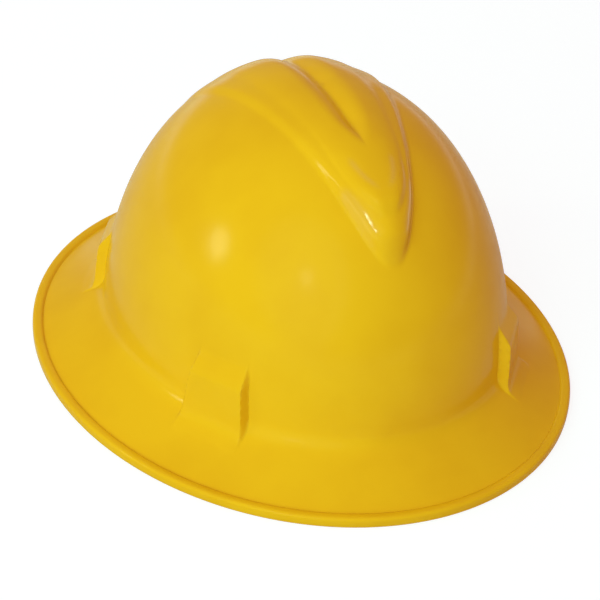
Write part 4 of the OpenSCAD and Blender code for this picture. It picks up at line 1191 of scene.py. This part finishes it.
# %% Sweat pad dimensions
PAD_THICK = 4.2
PAD_GAP = 0.6
PAD_COLUMNS = 36
FIRST_SHARE = 0.88
CROWN_POWER = 0.6
BACK_SINK = 0.35
CHANNEL_POWER = 24
CHANNEL_DEPTH = 0.4
END_THICKNESS = 0.35
END_HEIGHT = 0.7
ROWS_PER_FIELD = 12
BROW_TURN = 64
BROW_FIELDS = 9
BROW_HEIGHT = 29.0
BROW_END_POWER = 14
NAPE_TURN = 23
NAPE_FIELDS = 3
NAPE_HEIGHT = 28.0
NAPE_END_POWER = 8
HOUSING_INSIDE = 74.82
NAPE_CLEARANCE = 0.3
NAPE_OUTSIDE = HOUSING_INSIDE - PAD_GAP - NAPE_CLEARANCE


# %% Sweat pad shapes
def cushion_section(height, thick):
    """Inward and upward offsets round a cushion: a flat back and a crowned front."""
    a = np.linspace(0, 2 * math.pi, PAD_COLUMNS, endpoint=False)
    front = np.clip(-np.cos(a), 0, None) ** CROWN_POWER * thick
    behind = np.clip(np.cos(a), 0, None) * -BACK_SINK
    return np.stack([front + behind, height / 2 * np.sin(a)], axis=-1)


def cushion_rings(height, fields, end_power, place_at):
    """Rings of a cushion with sewn channels; place_at gives plan places from a share and offsets."""
    rows = fields * ROWS_PER_FIELD
    rings_here = []
    for k in range(rows + 1):
        v = k / rows
        end = math.sqrt(max(0.0, 1 - abs(2 * v - 1) ** end_power))
        channel = abs(math.cos(math.pi * v * fields)) ** CHANNEL_POWER
        thick = PAD_THICK * FIRST_SHARE * (1 - CHANNEL_DEPTH * channel) * between(END_THICKNESS, 1, end)
        section = cushion_section(height * between(END_HEIGHT, 1, end), thick)
        plan = place_at(v, section[:, 0])
        rings_here.append(np.concatenate([plan, BAND_Z + section[:, 1:]], axis=-1))
    return np.array(rings_here)


def brow_place(v, inward):
    """Plan places on the brow pad, at a share of its length and inward from its back."""
    turn = between(-BROW_TURN, BROW_TURN, v)
    side = RIGHT if turn < 0 else LEFT
    return band_points(side, np.full(len(inward), abs(turn)), -BAND_THICK / 2 - PAD_GAP - inward)


def nape_place(v, inward):
    """The same for the nape pad, which lies on the ratchet's housing."""
    turn = math.radians(between(NAPE_TURN, -NAPE_TURN, v))
    radius = NAPE_OUTSIDE - inward
    return np.stack([radius * math.sin(turn), RATCHET_Y + radius * math.cos(turn)], axis=-1)


# %% Swell the pads
SWELL_CAP = 1.1
FOAM_PRESSURE = 4
COVER_MASS = 0.3
SWELL_FRAMES = 20
HELD_TURN = 92


def swell(piece, held):
    """Blows the cloth up between its held points, then keeps the result in the mesh."""
    group = piece.vertex_groups.new(name="held")
    group.add(held, 1.0, "REPLACE")
    cloth = piece.modifiers.new("foam_pressure", "CLOTH")
    cloth.settings.vertex_group_mass = "held"
    cloth.settings.use_pressure = True
    cloth.settings.uniform_pressure_force = FOAM_PRESSURE
    cloth.settings.mass = COVER_MASS
    cloth.settings.effector_weights.gravity = 0
    cloth.collision_settings.use_collision = False
    before = np.array([v.co for v in piece.data.vertices])
    for number in range(1, SWELL_FRAMES + 1):
        scene.frame_set(number)
    evaluated = piece.evaluated_get(bpy.context.evaluated_depsgraph_get())
    after = np.array([v.co for v in evaluated.data.vertices])
    scene.frame_set(1)
    piece.modifiers.clear()
    move = after - before
    far = np.linalg.norm(move, axis=-1, keepdims=True)
    move *= np.minimum(1, SWELL_CAP * MM / np.maximum(far, 1e-9))
    piece.data.vertices.foreach_set("co", (before + move).ravel())
    print(piece.name, "swelled by up to mm:", round(float(far.max()) / MM, 2))


def sweat_pad(name, node, body, height, fields, end_power, place_at):
    """A swelled pad on a body; gives back the rings that it was made from."""
    rings_here = cushion_rings(height, fields, end_power, place_at)
    rows, columns, _ = rings_here.shape
    first, last = rings_here[0].mean(axis=0), rings_here[-1].mean(axis=0)
    piece = skin_rings(name, rings_here, first, last, terry)
    a = np.linspace(0, 360, columns, endpoint=False)
    at_back = np.abs((a + 180) % 360 - 180) < HELD_TURN
    held = [row * columns + i for row in range(rows) for i in range(columns)
            if at_back[i] or row % ROWS_PER_FIELD == 0]
    held += [rows * columns, rows * columns + 1]
    swell(piece, held)
    finer = piece.modifiers.new("finer", "SUBSURF")
    finer.levels = finer.render_levels = 1
    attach(piece, body)
    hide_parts(node)
    return rings_here


brow_rings = sweat_pad("brow_cushion", "brow_pad", "headband_unit", BROW_HEIGHT, BROW_FIELDS,
                       BROW_END_POWER, brow_place)
nape_rings = sweat_pad("nape_cushion", "nape_pad", "ratchet_unit", NAPE_HEIGHT, NAPE_FIELDS,
                       NAPE_END_POWER, nape_place)

# %% [markdown]
# Pad seams
#
# A knitted tape binds each pad's rim, and a row of stitches lies in each sewn channel. Both follow
# the rings that the pad was made from, since the channels and the rim were held.

# %% Pad stitching and binding
TAPE_RADIUS = 0.62
TAPE_SIDES = 10
THREAD_LIFT = 0.1
UPPER_RIM = PAD_COLUMNS // 4
LOWER_RIM = 3 * PAD_COLUMNS // 4


def channel_stitching(name, rings_here, body):
    """A row of stitches in each sewn channel, from near the pad's upper rim to near its lower one."""
    points = []
    faces = []
    for ring in rings_here[ROWS_PER_FIELD:-1:ROWS_PER_FIELD]:
        middle = ring.mean(axis=0)
        front = ring[UPPER_RIM + 2:LOWER_RIM - 1]
        for a, b in zip(front[:-1:2], front[1::2]):
            away = unit((a + b) / 2 - middle)
            stitch_seam(points, faces, a + away * THREAD_LIFT, b + away * THREAD_LIFT, away)
    stitched_piece(name, points, faces, body)


def binding_tape(name, rings_here, body):
    """A round tape along the pad's upper and lower rim, joined over its ends."""
    upper = rings_here[:, UPPER_RIM]
    lower = rings_here[:, LOWER_RIM]
    path = np.concatenate([upper, lower[::-1]])
    ways = unit(np.roll(path, -1, axis=0) - np.roll(path, 1, axis=0))
    middle = path.mean(axis=0)
    outward = unit(np.cross(ways, np.cross(path - middle, ways)))
    other = np.cross(ways, outward)
    turn = np.linspace(0, 2 * math.pi, TAPE_SIDES, endpoint=False)
    hoops = (path[:, None] + np.cos(turn)[None, :, None] * outward[:, None] * TAPE_RADIUS
             + np.sin(turn)[None, :, None] * other[:, None] * TAPE_RADIUS)
    count = len(path)
    here = np.arange(count * TAPE_SIDES).reshape(count, TAPE_SIDES)
    nxt = np.roll(here, -1, axis=0)
    faces = np.stack([here, np.roll(here, -1, axis=1), np.roll(nxt, -1, axis=1), nxt], axis=-1)
    piece = make_object(name, hoops.reshape(-1, 3), faces.reshape(-1, 4).tolist(), edge_tape)
    face_outwards(piece)
    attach(piece, body)
    print(name, "faces:", len(piece.data.polygons))


channel_stitching("brow_stitching", brow_rings, "headband_unit")
channel_stitching("nape_stitching", nape_rings, "ratchet_unit")
binding_tape("brow_binding", brow_rings, "headband_unit")
binding_tape("nape_binding", nape_rings, "ratchet_unit")

# %% [markdown]
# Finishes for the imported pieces
#
# The keys, the band, its hangers and the whole ratchet already have their real shape. They keep it,
# and get a finish and a small rounded edge, because no mould or press leaves a perfectly sharp one.
# The teeth get the finest edge. The pinion is drawn a little smaller all round, which is the running
# room that real gears have between their teeth.

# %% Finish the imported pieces
FINISHES = [
    (polypropylene, 0.3, ["key_front_left", "key_front_right", "key_rear_left", "key_rear_right",
                          "headband", "hanger_front_left", "hanger_front_right"]),
    (nylon, 0.25, ["ratchet_cover", "ratchet_back_plate", "ratchet_knob"]),
    (nylon, 0.08, ["rack_left", "rack_right", "pinion"]),
    (zinc_plated_steel, 0.12, ["hanger_rivets", "plate_rivets", "nape_rivets", "detent_spring",
                               "knob_screw"]),
]
for material, edge, names in FINISHES:
    for name in names:
        piece = nodes[name]
        for slot in piece.material_slots:
            slot.link = "OBJECT"
            slot.material = material
        round_edges(piece, edge)
    print(material.name, "on", len(names), "pieces")

# %% Running room between the teeth
RUNNING_ROOM = 0.2
teeth = nodes["pinion"].modifiers.new("running_room", "DISPLACE")
teeth.strength = -RUNNING_ROOM * MM
teeth.mid_level = 0
print("pinion drawn smaller by mm:", RUNNING_ROOM)

# %% [markdown]
# The stage
#
# A pale floor, a white surrounding and four soft lamps. A broad one stands in front, to the picture's
# left, and another behind. They are not seen in reflections. Two small ones give the soft bright spot
# on the dome and the streak on the nose of the ribs. The camera sees the surrounding as plain white.
# Reflections see a white backdrop up to the horizon. The light that the room sheds on the helmet is
# lower and warm, and the broad lamps are a little green, so that yellow turns towards orange where it
# leaves the light, as in the picture. The floor takes the helmet's shadow but keeps no light from its
# underside, which is lit by the world instead.

# %% Floor
FLOOR_GLOW = 0.8
FLOOR_HALF = 3.0
FLOOR_DROP = 0.2


def pale_floor():
    """A white paper floor, seen nearly as white as the surroundings, but with the helmet's shadow."""
    material, tree = new_material("floor_white_paper")
    paper = add(tree, "ShaderNodeBsdfDiffuse", {"Color": linear("#E6E6E5")})
    shadowed = add(tree, "ShaderNodeBsdfDiffuse", {"Color": linear("#8C9AAC")})
    glow = add(tree, "ShaderNodeEmission", {"Strength": FLOOR_GLOW})
    seen = add(tree, "ShaderNodeAddShader", links={0: shadowed.outputs[0], 1: glow.outputs[0]})
    path = add(tree, "ShaderNodeLightPath")
    above = add(tree, "ShaderNodeMixShader",
                links={0: path.outputs["Is Camera Ray"], 1: paper.outputs[0], 2: seen.outputs[0]})
    face = add(tree, "ShaderNodeNewGeometry")
    clear = add(tree, "ShaderNodeBsdfTransparent")
    one_sided = add(tree, "ShaderNodeMixShader",
                    links={0: face.outputs["Backfacing"], 1: above.outputs[0], 2: clear.outputs[0]})
    add(tree, "ShaderNodeOutputMaterial", links={"Surface": one_sided.outputs[0]})
    mesh = bpy.data.meshes.new("floor")
    corners = [(x * FLOOR_HALF, y * FLOOR_HALF, 0) for x, y in ((-1, -1), (1, -1), (1, 1), (-1, 1))]
    mesh.from_pydata(corners, [], [(0, 1, 2, 3)])
    mesh.materials.append(material)
    floor = bpy.data.objects.new("floor", mesh)
    scene.collection.objects.link(floor)
    floor.location.z = -FLOOR_DROP * MM
    floor.visible_diffuse = False
    floor.visible_shadow = False


pale_floor()
print("floor, metres each way:", 2 * FLOOR_HALF)

# %% Surroundings
BACKDROP_TOP = -0.02
BACKDROP_FADE = 0.12
ROOM_LIGHT = (0.48, 0.245, 0.22, 1)
PAPER_LIGHT = (0.46, 0.34, 0.3, 1)
WHITE = (1, 1, 1, 1)


def surroundings(shed, sent_back):
    """White for the camera and in reflections up to the backdrop's top. The light that falls on the
    helmet is dimmer: the room sheds one part, and the paper underneath sends back the other."""
    world = bpy.data.worlds.new("white_room")
    world.use_nodes = True
    tree = world.node_tree
    tree.nodes.clear()
    path = add(tree, "ShaderNodeLightPath")
    way = add(tree, "ShaderNodeTexCoord").outputs["Generated"]
    height = add(tree, "ShaderNodeSeparateXYZ", links={"Vector": way}).outputs["Z"]
    backdrop = add(tree, "ShaderNodeMapRange",
                   {"From Min": BACKDROP_TOP, "From Max": BACKDROP_TOP + BACKDROP_FADE,
                    "To Min": 1.0, "To Max": 0.0}, {"Value": height}).outputs["Result"]
    mirrored = add(tree, "ShaderNodeMath", links={0: path.outputs["Is Glossy Ray"], 1: backdrop},
                   operation="MULTIPLY")
    seen = add(tree, "ShaderNodeMath", links={0: path.outputs["Is Camera Ray"],
                                              1: mirrored.outputs[0]}, operation="MAXIMUM")
    seen_through = add(tree, "ShaderNodeMath", links={0: seen.outputs[0],
                                                      1: path.outputs["Is Transmission Ray"]},
                       operation="MAXIMUM")
    from_above = add(tree, "ShaderNodeMath", {1: 0.0}, {0: height}, operation="GREATER_THAN")
    light_on_it = add(tree, "ShaderNodeMix", {FIRST: sent_back, SECOND: shed},
                      {FACTOR: from_above.outputs[0]}, data_type="RGBA")
    colour = add(tree, "ShaderNodeMix", {SECOND: WHITE},
                 {FACTOR: seen_through.outputs[0], FIRST: light_on_it.outputs[MIXED]}, data_type="RGBA")
    light = add(tree, "ShaderNodeBackground", links={"Color": colour.outputs[MIXED]})
    add(tree, "ShaderNodeOutputWorld", links={"Surface": light.outputs["Background"]})
    scene.world = world


surroundings(ROOM_LIGHT, PAPER_LIGHT)
print("surroundings:", scene.world.name)

# %% Lamps
BROAD_TINT = (0.61, 1, 0.7)
LAMPS = [
    {"name": "broad_front_lamp", "round_turn": -43.5, "rise_turn": 31, "distance": 2.3, "size": 2.4,
     "power": 44, "tint": BROAD_TINT, "reflected": False},
    {"name": "broad_back_lamp", "round_turn": 172, "rise_turn": 10, "distance": 2.3, "size": 1.4,
     "power": 21, "tint": BROAD_TINT, "reflected": False},
    {"name": "small_side_lamp", "round_turn": -97, "rise_turn": 20, "distance": 1.3, "size": 0.26,
     "power": 1.8, "tint": (0.9, 1, 0.6), "reflected": True},
    {"name": "small_front_lamp", "round_turn": -40, "rise_turn": 31, "distance": 1.3, "size": 0.14,
     "power": 0.3, "tint": (0.9, 1, 0.8), "reflected": True},
]


def soft_lamp(name, round_turn, rise_turn, distance, size, power, tint, reflected):
    """A round lamp that faces the crown from round_turn degrees off the front and rise_turn up."""
    light = bpy.data.lights.new(name, "AREA")
    light.shape = "DISK"
    light.size = size
    light.energy = power
    light.color = tint
    lamp = bpy.data.objects.new(name, light)
    scene.collection.objects.link(lamp)
    level = math.cos(math.radians(rise_turn))
    way = Vector((level * math.sin(math.radians(round_turn)), -level * math.cos(math.radians(round_turn)),
                  math.sin(math.radians(rise_turn))))
    lamp.location = AIM * MM + way * distance
    lamp.rotation_euler = way.to_track_quat("Z", "Y").to_euler()
    lamp.visible_glossy = reflected


for settings in LAMPS:
    soft_lamp(**settings)
scene.view_settings.view_transform = "Standard"
print("lamps:", len(LAMPS))
